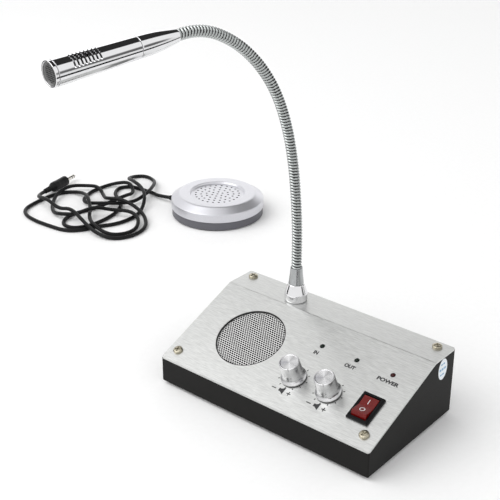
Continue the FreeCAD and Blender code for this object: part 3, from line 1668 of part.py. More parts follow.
speaker_top = recess_floor - v.puck_wall
puck_speaker = turned(
    "puck_speaker",
    [
        (puck_speaker_radius, speaker_top),
        (puck_speaker_radius, speaker_top - v.puck_speaker_rim),
        (v.puck_speaker_motor_radius, speaker_top - v.puck_speaker_depth),
        (v.puck_speaker_motor_radius, speaker_top - v.puck_speaker_depth - v.puck_speaker_motor_height),
        (ZERO, speaker_top - v.puck_speaker_depth - v.puck_speaker_motor_height),
        (ZERO, speaker_top - v.puck_speaker_well),
        (v.puck_speaker_motor_radius, speaker_top - v.puck_speaker_well),
        (puck_speaker_radius - v.puck_speaker_rim, speaker_top),
    ],
)
keep(puck_speaker, puck_place)
puck_mic = turned(
    "puck_mic",
    [
        (ZERO, ZERO),
        (v.puck_mic_radius, ZERO),
        (v.puck_mic_radius, v.puck_mic_height),
        (ZERO, v.puck_mic_height),
    ],
)
under_ring = (puck_ring_radius - v.puck_ring_edge, v.puck_height - v.puck_wall)
under_shoulder = (v.puck_radius - v.puck_wall, shoulder_z - v.puck_wall / 2)
inside_fall = (under_ring[1] - under_shoulder[1]) / (under_shoulder[0] - under_ring[0])
puck_mic_offset = puck_pinhole_place - v.puck_mic_radius * 2 / 3
puck_mic_edge = puck_mic_offset + v.puck_mic_radius
mic_x = puck_mic_offset * math.cos(pinhole_turn)
mic_y = puck_mic_offset * math.sin(pinhole_turn)
mic_top = under_ring[1] - inside_fall * (puck_mic_edge - under_ring[0])
mic_z = mic_top - v.puck_mic_gap - v.puck_mic_height
keep(puck_mic, puck_place.multiply(place(mic_x, mic_y, mic_z)))

# Window unit's cord: its route is a list of points from the puck's axis and up from the counter, laid
# down in loops that cross over one another. Straight runs are joined by tangent arcs.
CORD_ROUTE = [
    (-48.8, -10.8, 5.0),
    (-61.5, -13.6, 4.2),
    (-71.9, -7.6, 1.7),
    (-87.0, -7.9, 1.7),
    (-100.6, -9.4, 1.7),
    (-107.1, -19.5, 1.7),
    (-99.0, -32.6, 1.7),
    (-84.7, -39.3, 1.7),
    (-72.7, -49.1, 1.7),
    (-65.7, -64.3, 1.7),
    (-63.3, -79.8, 1.7),
    (-64.3, -95.8, 1.7),
    (-71.0, -108.4, 1.7),
    (-84.4, -109.1, 1.7),
    (-93.9, -96.0, 1.7),
    (-93.4, -81.6, 1.7),
    (-89.0, -68.6, 1.7),
    (-83.5, -53.4, 4.4),
    (-80.8, -36.0, 6.4),
    (-86.0, -19.4, 2.0),
    (-99.8, -11.0, 6.7),
    (-114.0, -14.7, 3.4),
    (-120.1, -28.0, 1.7),
    (-119.4, -43.8, 1.7),
    (-111.8, -59.7, 1.7),
    (-98.7, -67.4, 4.2),
    (-83.9, -64.3, 7.4),
    (-73.2, -53.0, 6.3),
    (-68.8, -35.3, 3.2),
    (-70.7, -15.9, 6.2),
    (-81.1, 2.3, 5.3),
    (-93.7, 15.1, 1.7),
    (-108.0, 18.3, 1.7),
    (-115.9, 10.5, 1.7),
    (-110.6, -3.8, 5.3),
    (-94.6, -12.6, 10.5),
    (-76.4, -18.3, 10.0),
    (-61.5, -29.2, 8.1),
    (-51.7, -44.3, 1.7),
    (-47.0, -61.4, 1.7),
    (-49.1, -78.4, 1.7),
    (-58.1, -91.7, 1.7),
    (-62.5, -106.0, 1.7),
    (-73.2, -116.1, 1.7),
    (-90.8, -118.0, 1.7),
    (-108.5, -118.8, 1.7),
    (-125.0, -116.2, 1.7),
    (-135.9, -107.8, 1.7),
    (-139.4, -93.3, 1.7),
    (-141.3, -76.2, 1.7),
    (-139.1, -60.3, 1.7),
    (-129.5, -52.3, 2.1),
    (-114.1, -55.8, 5.9),
    (-98.7, -65.0, 10.2),
    (-84.4, -75.2, 6.1),
    (-72.3, -88.5, 5.1),
    (-56.3, -98.4, 6.3),
    (-40.4, -98.0, 1.7),
    (-29.1, -89.7, 1.7),
    (-27.5, -74.3, 1.7),
    (-38.5, -60.1, 4.6),
    (-53.3, -57.3, 6.3),
    (-66.9, -65.2, 5.6),
    (-75.8, -78.6, 11.2),
    (-83.7, -93.3, 6.3),
    (-95.5, -100.9, 5.9),
    (-110.4, -97.0, 1.7),
    (-124.7, -85.6, 1.7),
    (-135.6, -70.3, 4.7),
    (-137.5, -53.1, 6.5),
    (-129.7, -39.6, 4.4),
    (-114.9, -36.5, 6.5),
    (-99.5, -44.6, 2.4),
    (-84.6, -55.5, 9.0),
    (-70.4, -50.7, 10.8),
    (-53.4, -48.1, 6.4),
    (-35.7, -54.3, 3.2),
    (-22.4, -68.9, 1.7),
    (-20.6, -88.4, 1.7),
    (-30.7, -102.7, 1.7),
    (-47.7, -105.3, 4.3),
    (-68.2, -99.1, 6.5),
    (-87.1, -95.0, 11.8),
    (-105.8, -94.4, 5.7),
    (-122.3, -93.0, 11.0),
    (-145.0, -87.8, 4.6),
    (-147.6, -74.0, 4.6),
]
ARC_SHARE = 0.45
puck_floor = vector(-v.puck_left_of_console, v.puck_behind_front, -v.foot_height)
cord_points = [puck_floor + FreeCAD.Vector(*point) for point in CORD_ROUTE]


def rounded_path(points):
    """Runs and tangent arcs through a route, with the arcs' radii and the path's length."""
    edges = []
    radii = []
    length = 0.0
    start = points[0]
    for before, corner, after in zip(points, points[1:], points[2:]):
        back = before - corner
        onward = after - corner
        reach = ARC_SHARE * min(back.Length, onward.Length)
        back.normalize()
        onward.normalize()
        half_turn = (math.pi - back.getAngle(onward)) / 2
        radius = reach / math.tan(half_turn)
        arc_start = corner + back * reach
        arc_end = corner + onward * reach
        towards = (back + onward).normalize()
        arc_middle = corner + towards * (radius / math.cos(half_turn) - radius)
        edges.append(Part.LineSegment(start, arc_start).toShape())
        edges.append(Part.Arc(arc_start, arc_middle, arc_end).toShape())
        length += (arc_start - start).Length + 2 * half_turn * radius
        radii.append(radius)
        start = arc_end
    edges.append(Part.LineSegment(start, points[-1]).toShape())
    length += (points[-1] - start).Length
    return Part.Wire(edges), radii, length


def tube_along(path, points, radius):
    section = Part.Wire(Part.makeCircle(radius, points[0], points[1] - points[0]))
    return path.makePipeShell([section], True, False)


cord_path, cord_radii, cord_length = rounded_path(cord_points)
cord_shape = tube_along(cord_path, cord_points, v.cord_radius.value)
cord_section = math.pi * v.cord_radius.value ** 2
print("cord length", round(cord_length, 1), "smallest radius", round(min(cord_radii), 1))
print("cord volume against section times length", round(cord_shape.Volume / (cord_section * cord_length), 5))
keep(solid_feature("cord", cord_shape))

# Plug on the cord's end: moulded body with a tapered boot, and the three-pole metal contact.
plug_direction = (cord_points[-1] - cord_points[-2]).normalize()
plug_heading_deg = math.degrees(math.atan2(plug_direction.y, plug_direction.x))
plug_turn = FreeCAD.Rotation(Z_AXIS, plug_heading_deg).multiply(FreeCAD.Rotation(Y_AXIS, 90.0))
plug_place = FreeCAD.Placement(cord_points[-1], plug_turn)
boot_end = v.plug_boot_length
plug_front = boot_end + v.plug_waist_length + v.plug_body_length
plug_body = turned(
    "plug_body",
    [
        (ZERO, ZERO),
        (v.plug_boot_end_radius, ZERO),
        (v.plug_boot_radius, boot_end),
        (v.plug_body_radius, boot_end + v.plug_waist_length),
        (v.plug_body_radius, plug_front - v.plug_body_edge),
        (v.plug_body_radius - v.plug_body_edge, plug_front),
        (ZERO, plug_front),
    ],
)
keep(plug_body, plug_place)
tip = plug_front + v.plug_contact_length
groove_radius = v.plug_contact_radius - v.plug_groove_depth
first_groove = tip - v.plug_tip_length
second_groove = first_groove - v.plug_groove_width - v.plug_ring_length
plug_contact = turned(
    "plug_contact",
    [
        (ZERO, plug_front),
        (v.plug_contact_radius, plug_front),
        (v.plug_contact_radius, second_groove - v.plug_groove_width),
        (groove_radius, second_groove - v.plug_groove_width),
        (groove_radius, second_groove),
        (v.plug_contact_radius, second_groove),
        (v.plug_contact_radius, first_groove - v.plug_groove_width),
        (groove_radius, first_groove - v.plug_groove_width),
        (groove_radius, first_groove),
        (v.plug_contact_radius, first_groove + v.plug_groove_width),
        (v.plug_contact_radius / 2, tip),
        (ZERO, tip),
    ],
)
keep(plug_contact, plug_place)
CORD_NODES = ["cord", "plug_body", "plug_contact"]

# Checks on every object, and the move of the zero: the pieces without the cord stand on it, under the
# middle of their box.
doc.recompute()
for item in doc.Objects:
    faults = {"Invalid", "Error"} & set(item.State)
    if faults:
        raise RuntimeError(f"{item.Label} did not compute: {item.State}")


def placed_shape(thing, where):
    shape = thing.Shape.copy()
    shape.Placement = where.multiply(shape.Placement)
    return shape


whole = FreeCAD.BoundBox()
for label, (thing, where) in pieces.items():
    if thing.Shape.isNull() or not thing.Shape.isValid():
        raise RuntimeError(f"{label} has no valid shape")
    if label not in CORD_NODES:
        whole.add(placed_shape(thing, where).optimalBoundingBox(False))
zero_move = FreeCAD.Placement(
    FreeCAD.Vector(-whole.Center.x, -whole.Center.y, -whole.ZMin),
    FreeCAD.Rotation(),
)

os.makedirs("parts", exist_ok=True)
for label, (thing, where) in pieces.items():
    thing.Placement = zero_move.multiply(where).multiply(thing.Placement)
doc.recompute()
for label, (thing, where) in pieces.items():
    thing.Shape.exportStep(f"parts/{label}.step")
    print(label, len(thing.Shape.Solids), round(thing.Shape.Volume, 1))

print("zero moved by", tuple(round(value, 3) for value in zero_move.Base))
for number, (point, heading_now) in enumerate(neck_joints, start=1):
    at = zero_move.multVec(point)
    print("neck joint", number, tuple(round(value, 3) for value in at), round(math.degrees(heading_now), 2))
for label, where in (("knob_in", on_slope(*knob_places[0])), ("knob_out", on_slope(*knob_places[1]))):
    print(label, tuple(round(value, 3) for value in zero_move.multVec(where.Base)))
print("rocker pivot", tuple(round(value, 3) for value in zero_move.multVec(rocker_place.Base)))
print("slope angle", round(slope_angle_deg, 3))
print("socket mouth", tuple(round(value, 3) for value in zero_move.multVec(
    on_rear_wall(socket_x, v.rear_socket_height).Base)))
print("plug", tuple(round(value, 3) for value in zero_move.multVec(plug_place.Base)), plug_heading_deg)
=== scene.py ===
import math

import bmesh
import bpy
from mathutils import Matrix, Vector


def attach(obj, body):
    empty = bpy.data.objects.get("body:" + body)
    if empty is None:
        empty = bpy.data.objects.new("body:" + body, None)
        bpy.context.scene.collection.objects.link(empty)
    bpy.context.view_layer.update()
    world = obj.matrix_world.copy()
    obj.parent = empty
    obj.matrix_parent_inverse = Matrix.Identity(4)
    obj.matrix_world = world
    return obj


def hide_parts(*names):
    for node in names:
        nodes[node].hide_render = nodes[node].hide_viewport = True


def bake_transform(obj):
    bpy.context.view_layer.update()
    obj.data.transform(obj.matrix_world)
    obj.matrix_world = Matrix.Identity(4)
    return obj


# Teller window intercom: a black steel desk console with a brushed faceplate and a gooseneck microphone,
# and a round silver window unit on a thin black cord. Lengths in the pieces are millimetres.

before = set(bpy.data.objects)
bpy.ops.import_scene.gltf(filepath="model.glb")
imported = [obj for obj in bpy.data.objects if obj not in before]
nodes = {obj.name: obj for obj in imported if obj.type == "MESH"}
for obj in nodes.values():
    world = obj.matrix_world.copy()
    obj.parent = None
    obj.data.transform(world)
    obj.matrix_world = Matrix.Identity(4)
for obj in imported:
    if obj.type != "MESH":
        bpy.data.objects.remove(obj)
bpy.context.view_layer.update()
scene = bpy.context.scene

# Camera
# It stands in front of the console's right corner and looks down on it by about 26 degrees, with a short
# telephoto lens, as the photograph was taken.
lens = bpy.data.cameras.new("camera")
lens.lens = 79.2
lens.sensor_width = 36
lens.clip_start = 0.01
camera = bpy.data.objects.new("camera", lens)
scene.collection.objects.link(camera)
camera.location = (0.464640, -0.530085, 0.399716)
camera.rotation_euler = (math.radians(64.143), 0, math.radians(39.950))
scene.camera = camera
scene.view_settings.view_transform = "Standard"

# Counter and studio
# The device stands on a matt white counter in a bright soft tent. A dark slot in the tent's roof draws the
# broad black band along the chrome, and black cards, which show only in reflections, its thin dark lines.
WHITE = (1.0, 1.0, 1.0, 1.0)
COUNTER_REACH = 6.0
SLOT_DARKNESS = 0.97
SIDE_DARKNESS = 0.85
GLOW_STRENGTH = 0.6


def new_material(name):
    """A node material, with its shader."""
    material = bpy.data.materials.new(name)
    material.use_nodes = True
    return material, material.node_tree.nodes["Principled BSDF"]


def grained(name, colour, size, stretch=(1, 1, 1), shade=0.08, metallic=0.0, roughness=0.5, rough_change=0.06,
            bump=0.2, depth=0.02, specular=0.5, coat=0.0):
    """A finish whose colour, gloss and surface all follow one fine grain, sized in millimetres."""
    material, shader = new_material(name)
    tree = material.node_tree
    where = tree.nodes.new("ShaderNodeTexCoord")
    scaled = tree.nodes.new("ShaderNodeMapping")
    scaled.inputs["Scale"].default_value = [1000 / size / length for length in stretch]
    tree.links.new(where.outputs["Object"], scaled.inputs["Vector"])
    grain = tree.nodes.new("ShaderNodeTexNoise")
    grain.inputs["Scale"].default_value = 1.0
    grain.inputs["Detail"].default_value = 3.0
    tree.links.new(scaled.outputs["Vector"], grain.inputs["Vector"])
    tint = tree.nodes.new("ShaderNodeValToRGB")
    tint.color_ramp.elements[0].position = 0.3
    tint.color_ramp.elements[1].position = 0.7
    tint.color_ramp.elements[0].color = [value * (1 - shade) for value in colour] + [1]
    tint.color_ramp.elements[1].color = [min(1, value * (1 + shade)) for value in colour] + [1]
    tree.links.new(grain.outputs["Fac"], tint.inputs["Fac"])
    tree.links.new(tint.outputs["Color"], shader.inputs["Base Color"])
    gloss = tree.nodes.new("ShaderNodeMapRange")
    gloss.inputs["From Min"].default_value = 0.3
    gloss.inputs["From Max"].default_value = 0.7
    gloss.inputs["To Min"].default_value = max(0.02, roughness - rough_change)
    gloss.inputs["To Max"].default_value = min(1.0, roughness + rough_change)
    tree.links.new(grain.outputs["Fac"], gloss.inputs["Value"])
    tree.links.new(gloss.outputs["Result"], shader.inputs["Roughness"])
    relief = tree.nodes.new("ShaderNodeBump")
    relief.inputs["Strength"].default_value = bump
    relief.inputs["Distance"].default_value = depth / 1000
    tree.links.new(grain.outputs["Fac"], relief.inputs["Height"])
    tree.links.new(relief.outputs["Normal"], shader.inputs["Normal"])
    shader.inputs["Metallic"].default_value = metallic
    shader.inputs["Specular IOR Level"].default_value = specular
    shader.inputs["Coat Weight"].default_value = coat
    return material


counter_paint = grained("counter_paint", (0.96, 0.96, 0.96), 4.0, shade=0.01, roughness=0.8,
                        specular=0.1)
counter_shape = bmesh.new()
bmesh.ops.create_grid(counter_shape, x_segments=8, y_segments=8, size=COUNTER_REACH)
counter_mesh = bpy.data.meshes.new("counter")
counter_shape.to_mesh(counter_mesh)
counter_shape.free()
counter_mesh.materials.append(counter_paint)
counter = bpy.data.objects.new("counter", counter_mesh)
scene.collection.objects.link(counter)

tent = bpy.data.worlds.new("tent")
scene.world = tent
tent.use_nodes = True
sky = tent.node_tree
look = sky.nodes.new("ShaderNodeTexCoord")


def worked(operation, first, second):
    """The result of one sum in the sky's node tree."""
    node = sky.nodes.new("ShaderNodeMath")
    node.operation = operation
    for socket, value in zip(node.inputs, (first, second)):
        if isinstance(value, float):
            socket.default_value = value
        else:
            sky.links.new(value, socket)
    return node.outputs["Value"]


def towards(direction):
    """How far the line of sight points that way, from -1 to 1."""
    node = sky.nodes.new("ShaderNodeVectorMath")
    node.operation = "DOT_PRODUCT"
    node.inputs[1].default_value = Vector(direction).normalized()
    sky.links.new(look.outputs["Generated"], node.inputs[0])
    return node.outputs["Value"]


def fade(value, none, full):
    """0 at none and 1 at full, with a soft step between them."""
    node = sky.nodes.new("ShaderNodeMapRange")
    node.interpolation_type = "SMOOTHSTEP"
    node.inputs["From Min"].default_value = none
    node.inputs["From Max"].default_value = full
    sky.links.new(value, node.inputs["Value"])
    return node.outputs["Result"]


# The slot and the glow beside it run along the microphone, so they follow the turn about it and the reach
# along it.
MIC_AIM = (-0.1731, -0.9818, -0.0785)
MIC_UP = (-0.0136, -0.0773, 0.997)
MIC_SIDE = (0.98481, -0.17365, 0)
round_mic = worked("ARCTAN2", towards(MIC_UP), towards(MIC_SIDE))
along_mic = towards(MIC_AIM)
slot_widening = worked("MULTIPLY", fade(along_mic, -0.68, -0.58), 0.24)
slot_far = fade(worked("SUBTRACT", round_mic, slot_widening), 2.23, 2.17)
roof_slot = worked("MULTIPLY", fade(round_mic, 1.15, 1.21), slot_far)
roof_slot = worked("MULTIPLY", roof_slot, fade(along_mic, -0.92, -0.86))
roof_slot = worked("MULTIPLY", roof_slot, fade(along_mic, -0.24, -0.32))
glow = worked("MULTIPLY", fade(round_mic, 2.47, 2.56), fade(along_mic, -0.35, -0.45))
side_dark = fade(towards((0.9, 0.42, 0.12)), 0.97, 0.995)
light_left = worked("MULTIPLY", worked("SUBTRACT", 1.0, worked("MULTIPLY", roof_slot, SLOT_DARKNESS)),
                    worked("SUBTRACT", 1.0, worked("MULTIPLY", side_dark, SIDE_DARKNESS)))
tent_light = worked("ADD", light_left, worked("MULTIPLY", glow, GLOW_STRENGTH))
sky.nodes["Background"].inputs["Color"].default_value = WHITE
sky.links.new(tent_light, sky.nodes["Background"].inputs["Strength"])

card_black = grained("card_black", (0.01, 0.01, 0.01), 5.0, shade=0.1, roughness=0.9, specular=0.05)
card_shape = bmesh.new()
CARDS = [
    ((0.623, 0.195, 0.002), (0.30, 1.1, 0.004), -10),
    ((0.40, 0.70, 0.12), (0.004, 0.42, 0.24), 65),
    ((-0.49, -0.23, 0.10), (0.004, 0.32, 0.20), 21),
    ((0.371, -0.283, 0.002), (0.39, 0.06, 0.004), -42),
]
for spot, size, turn in CARDS:
    bmesh.ops.create_cube(card_shape, size=1.0, matrix=Matrix.Translation(spot)
                          @ Matrix.Rotation(math.radians(turn), 4, "Z") @ Matrix.Diagonal((*size, 1.0)))
card_mesh = bpy.data.meshes.new("black_cards")
card_shape.to_mesh(card_mesh)
card_shape.free()
card_mesh.materials.append(card_black)
card = bpy.data.objects.new("black_cards", card_mesh)
scene.collection.objects.link(card)
card.visible_camera = False
card.visible_diffuse = False
card.visible_shadow = False

softbox = bpy.data.lights.new("softbox", "AREA")
softbox.shape = "DISK"
softbox.size = 1.8
softbox.energy = 13
lamp = bpy.data.objects.new("softbox", softbox)
scene.collection.objects.link(lamp)
lamp.location = (-0.7, -0.9, 1.3)
lamp.rotation_euler = (Vector((0, 0, 0.05)) - lamp.location).to_track_quat("-Z", "Y").to_euler()

# Window unit's cord
# A limp two-core cord, 3.3 mm across, with a satin black vinyl jacket. It leaves the window unit through a
# rubber grommet, lies in loose loops on the counter, and ends in a moulded jack plug.
PUCK_AXIS = Vector((-0.136457, 0.142413, 0.0))
CORD_DIAMETER = 0.0033
CORD_ROUTE = [
    (-0.0488, -0.0108, 0.0050), (-0.0615, -0.0136, 0.0042), (-0.0719, -0.0076, 0.0017),
    (-0.0870, -0.0079, 0.0017), (-0.1006, -0.0094, 0.0017), (-0.1071, -0.0195, 0.0017),
    (-0.0990, -0.0326, 0.0017), (-0.0847, -0.0393, 0.0017), (-0.0727, -0.0491, 0.0017),
    (-0.0657, -0.0643, 0.0017), (-0.0633, -0.0798, 0.0017), (-0.0643, -0.0958, 0.0017),
    (-0.0710, -0.1084, 0.0017), (-0.0844, -0.1091, 0.0017), (-0.0939, -0.0960, 0.0017),
    (-0.0934, -0.0816, 0.0017), (-0.0890, -0.0686, 0.0017), (-0.0835, -0.0534, 0.0044),
    (-0.0808, -0.0360, 0.0064), (-0.0860, -0.0194, 0.0020), (-0.0998, -0.0110, 0.0067),
    (-0.1140, -0.0147, 0.0034), (-0.1201, -0.0280, 0.0017), (-0.1194, -0.0438, 0.0017),
    (-0.1118, -0.0597, 0.0017), (-0.0987, -0.0674, 0.0042), (-0.0839, -0.0643, 0.0074),
    (-0.0732, -0.0530, 0.0063), (-0.0688, -0.0353, 0.0032), (-0.0707, -0.0159, 0.0062),
    (-0.0811, 0.0023, 0.0053), (-0.0937, 0.0151, 0.0017), (-0.1080, 0.0183, 0.0017),
    (-0.1159, 0.0105, 0.0017), (-0.1106, -0.0038, 0.0053), (-0.0946, -0.0126, 0.0105),
    (-0.0764, -0.0183, 0.0100), (-0.0615, -0.0292, 0.0081), (-0.0517, -0.0443, 0.0017),
    (-0.0470, -0.0614, 0.0017), (-0.0491, -0.0784, 0.0017), (-0.0581, -0.0917, 0.0017),
    (-0.0625, -0.1060, 0.0017), (-0.0732, -0.1161, 0.0017), (-0.0908, -0.1180, 0.0017),
    (-0.1085, -0.1188, 0.0017), (-0.1250, -0.1162, 0.0017), (-0.1359, -0.1078, 0.0017),
    (-0.1394, -0.0933, 0.0017), (-0.1413, -0.0762, 0.0017), (-0.1391, -0.0603, 0.0017),
    (-0.1295, -0.0523, 0.0021), (-0.1141, -0.0558, 0.0059), (-0.0987, -0.0650, 0.0102),
    (-0.0844, -0.0752, 0.0061), (-0.0723, -0.0885, 0.0051), (-0.0563, -0.0984, 0.0063),
    (-0.0404, -0.0980, 0.0017), (-0.0291, -0.0897, 0.0017), (-0.0275, -0.0743, 0.0017),
    (-0.0385, -0.0601, 0.0046), (-0.0533, -0.0573, 0.0063), (-0.0669, -0.0652, 0.0056),
    (-0.0758, -0.0786, 0.0112), (-0.0837, -0.0933, 0.0063), (-0.0955, -0.1009, 0.0059),
    (-0.1104, -0.0970, 0.0017), (-0.1247, -0.0856, 0.0017), (-0.1356, -0.0703, 0.0047),
    (-0.1375, -0.0531, 0.0065), (-0.1297, -0.0396, 0.0044), (-0.1149, -0.0365, 0.0065),
    (-0.0995, -0.0446, 0.0024), (-0.0846, -0.0555, 0.0090), (-0.0704, -0.0507, 0.0108),
    (-0.0534, -0.0481, 0.0064), (-0.0357, -0.0543, 0.0032), (-0.0224, -0.0689, 0.0017),
    (-0.0206, -0.0884, 0.0017), (-0.0307, -0.1027, 0.0017), (-0.0477, -0.1053, 0.0043),
    (-0.0682, -0.0991, 0.0065), (-0.0871, -0.0950, 0.0118), (-0.1058, -0.0944, 0.0057),
    (-0.1223, -0.0930, 0.0110), (-0.1450, -0.0878, 0.0046), (-0.1476, -0.0740, 0.0046),
]
cord_vinyl = grained("cord_vinyl", (0.006, 0.006, 0.0065), 0.5, shade=0.25, roughness=0.42, bump=0.25,
                     depth=0.03, specular=0.18)
cord_curve = bpy.data.curves.new("window_cord", "CURVE")
cord_curve.dimensions = "3D"
cord_curve.bevel_depth = CORD_DIAMETER / 2
cord_curve.bevel_resolution = 4
cord_line = cord_curve.splines.new("NURBS")
cord_line.points.add(len(CORD_ROUTE) - 1)
for knot, point in zip(cord_line.points, CORD_ROUTE):
    knot.co = (*(PUCK_AXIS + Vector(point)), 1)
cord_line.order_u = 3
cord_line.use_endpoint_u = True
cord_line.resolution_u = 6
cord_curve.materials.append(cord_vinyl)
cord = bpy.data.objects.new("window_cord", cord_curve)
scene.collection.objects.link(cord)
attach(cord, "console")
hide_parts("cord")

# Jack plug on the cord's end
# The moulded black body narrows to a ribbed boot that saves the cord from kinks. The nickelled contact has
# two black insulating rings between its three poles.


def stand(name, shape, place, material, body, sharp=32):
    """Makes a piece of a mesh in millimetres, sets it in its place and lets it ride on its body, if any."""
    bmesh.ops.remove_doubles(shape, verts=shape.verts, dist=0.0005)
    bmesh.ops.recalc_face_normals(shape, faces=shape.faces)
    bmesh.ops.scale(shape, vec=(0.001, 0.001, 0.001), verts=shape.verts)
    mesh = bpy.data.meshes.new(name)
    shape.to_mesh(mesh)
    shape.free()
    for face in mesh.polygons:
        face.use_smooth = True
    mesh.set_sharp_from_angle(angle=math.radians(sharp))
    mesh.materials.append(material)
    piece = bpy.data.objects.new(name, mesh)
    scene.collection.objects.link(piece)
    piece.matrix_world = place
    if body:
        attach(piece, body)
    return piece


def eased(outline, reach, steps=3):
    """The outline with its corners rounded off over that reach, and its long straights held straight."""
    points = [Vector(point) for point in outline]
    rounded = [points[0]]
    for before, corner, after in zip(points, points[1:], points[2:]):
        back = before - corner
        onward = after - corner
        near = corner + back.normalized() * min(reach, back.length * 0.45)
        far = corner + onward.normalized() * min(reach, onward.length * 0.45)
        for step in range(steps + 1):
            share = step / steps
            rounded.append(near * (1 - share) ** 2 + corner * 2 * share * (1 - share) + far * share ** 2)
    rounded.append(points[-1])
    held = [rounded[0]]
    for before, after in zip(rounded, rounded[1:]):
        straight = after - before
        if straight.length > 3 * reach:
            nudge = straight.normalized() * reach * 0.4
            held += [before + nudge, after - nudge]
        held.append(after)
    return [tuple(point) for point in held]


def lathe(outline, steps=72):
    """A turned shape: (radius, height) pairs spun about Z."""
    shape = bmesh.new()
    rings = []
    for radius, height in outline:
        if radius < 1e-6:
            rings.append([shape.verts.new((0, 0, height))])
            continue
        angles = [2 * math.pi * step / steps for step in range(steps)]
        rings.append([shape.verts.new((radius * math.cos(a), radius * math.sin(a), height)) for a in angles])
    for low, high in zip(rings, rings[1:]):
        for step in range(steps):
            corners = []
            for ring, turn in ((low, step), (low, step + 1), (high, step + 1), (high, step)):
                if ring[turn % len(ring)] not in corners:
                    corners.append(ring[turn % len(ring)])
            if len(corners) > 2:
                shape.faces.new(corners)
    return shape


plug_rubber = grained("plug_rubber", (0.007, 0.007, 0.0075), 0.6, shade=0.2, roughness=0.45, depth=0.03,
                      specular=0.2)
plug_nickel = grained("plug_nickel", (0.72, 0.70, 0.66), 0.3, stretch=(3, 3, 1), shade=0.05, metallic=1.0,
                      roughness=0.22, bump=0.05, depth=0.01)
plug_aim = Vector(CORD_ROUTE[-1]) - Vector(CORD_ROUTE[-2])
plug_turn = plug_aim.to_track_quat("Z", "Y").to_matrix().to_4x4()
plug_place = Matrix.Translation(PUCK_AXIS + Vector(CORD_ROUTE[-1])) @ plug_turn
boot = [(0, 0), (2.3, 0)]
for rib in range(5):
    start = 0.7 + rib * 1.45
    wide = 2.32 + 0.06 * rib
    boot += [(wide, start), (wide + 0.02, start + 0.75)]
    boot += [(wide - 0.4, start + 0.85), (wide - 0.38, start + 1.35)]
body = [(2.6, 8.0), (3.1, 9.2), (4.0, 10.8), (4.6, 12.4), (4.6, 17.0), (4.45, 19.0), (4.45, 24.5),
        (4.6, 26.5), (4.6, 30.4), (4.0, 31.0), (0, 31.0)]
plug_body = stand("plug_grip", lathe(eased(boot + body, 0.35)), plug_place, plug_rubber, "console")
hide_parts("plug_body")
nodes["plug_contact"].material_slots[0].material = plug_nickel
for number, low in enumerate((38.8, 41.8), start=1):
    high = low + 0.6
    ring = lathe([(1.5, low), (1.72, low), (1.72, high), (1.5, high), (1.5, low)], 40)
    stand(f"plug_insulator_{number}", ring, plug_place, plug_rubber, "console")

# Window unit
# A round table-top speaker: a silver painted cover with a perforated dish, a flat ring and a sloping
# shoulder, snapped over a dark base that stands on a rubber pad. A pinhole lets its microphone hear.
puck_place = Matrix.Translation(PUCK_AXIS)
puck_silver = grained("puck_silver", (0.63, 0.63, 0.665), 0.25, shade=0.10, metallic=0.75, roughness=0.34,
                      rough_change=0.05, bump=0.06, depth=0.01)
puck_grey = grained("puck_grey", (0.10, 0.10, 0.115), 0.4, shade=0.12, roughness=0.45, bump=0.2, depth=0.02)


def carve(shape, cutters):
    """The shape with the cutters' space taken out of it."""
    pair = []
    for part in (shape, cutters):
        bmesh.ops.recalc_face_normals(part, faces=part.faces)
        mesh = bpy.data.meshes.new("carving")
        part.to_mesh(mesh)
        part.free()
        pair.append(bpy.data.objects.new("carving", mesh))
        scene.collection.objects.link(pair[-1])
    cut = pair[0].modifiers.new("cut", "BOOLEAN")
    cut.operation = "DIFFERENCE"
    cut.solver = "EXACT"
    cut.object = pair[1]
    bpy.context.view_layer.update()
    carved = bmesh.new()
    carved.from_object(pair[0], bpy.context.evaluated_depsgraph_get())
    for item in pair:
        bpy.data.objects.remove(item)
    return carved


cover_outline = eased(
    [(0, 16.4), (24.3, 16.4), (25.2, 18.2), (33.0, 18.2), (39.2, 14.6), (39.2, 8.0), (41.0, 8.0),
     (41.0, 15.4), (34.2, 19.75), (33.0, 20.0), (24.3, 20.0), (23.4, 18.2), (0, 18.2)], 0.55)
HOLE_PITCH = 4.83
HOLE_RADIUS = 0.9
PINHOLE_PLACE = (35.6 * math.cos(math.radians(160)), 35.6 * math.sin(math.radians(160)), 17.0)
hole_cutters = bmesh.new()
for ring, count in enumerate((1, 6, 12, 18, 24)):
    for step in range(count):
        angle = 2 * math.pi * step / count
        reach = HOLE_PITCH * ring
        spot = Matrix.Translation((reach * math.cos(angle), reach * math.sin(angle), 17.3))
        bmesh.ops.create_cone(hole_cutters, cap_ends=True, segments=20, radius1=HOLE_RADIUS,
                              radius2=HOLE_RADIUS, depth=4.0, matrix=spot)
bmesh.ops.create_cone(hole_cutters, cap_ends=True, segments=20, radius1=HOLE_RADIUS, radius2=HOLE_RADIUS,
                      depth=8.0, matrix=Matrix.Translation(PINHOLE_PLACE))
puck_cover = stand("window_unit_cover", carve(lathe(cover_outline, 128), hole_cutters), puck_place,
                   puck_silver, "console", sharp=25)
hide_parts("puck_cover")
# A near-black finish painted on the walls of holes as shade.
hole_wall_shade = grained("hole_wall_shade", (0.012, 0.012, 0.012), 0.5, shade=0.2, roughness=0.7, specular=0.1)
puck_cover.data.materials.append(hole_wall_shade)
# The walls of the dish's holes and of the pinhole take the painted shade.
for face in puck_cover.data.polygons:
    from_middle = face.center.xy.length * 1000
    if abs(face.normal.z) < 0.3 and (from_middle < 21.5 or 34 < from_middle < 37.2):
        face.material_index = 1
nodes["puck_base"].material_slots[0].material = puck_grey
pad_rubber = grained("pad_rubber", (0.02, 0.02, 0.021), 0.7, shade=0.25, roughness=0.8, bump=0.3, depth=0.05,
                     specular=0.25)
nodes["puck_pad"].material_slots[0].material = pad_rubber
nodes["puck_grommet"].material_slots[0].material = pad_rubber
speaker_paper = grained("speaker_paper", (0.010, 0.010, 0.0095), 1.2, shade=0.3, roughness=0.85, bump=0.4,
                        depth=0.08, specular=0.1)
nodes["puck_speaker"].material_slots[0].material = speaker_paper

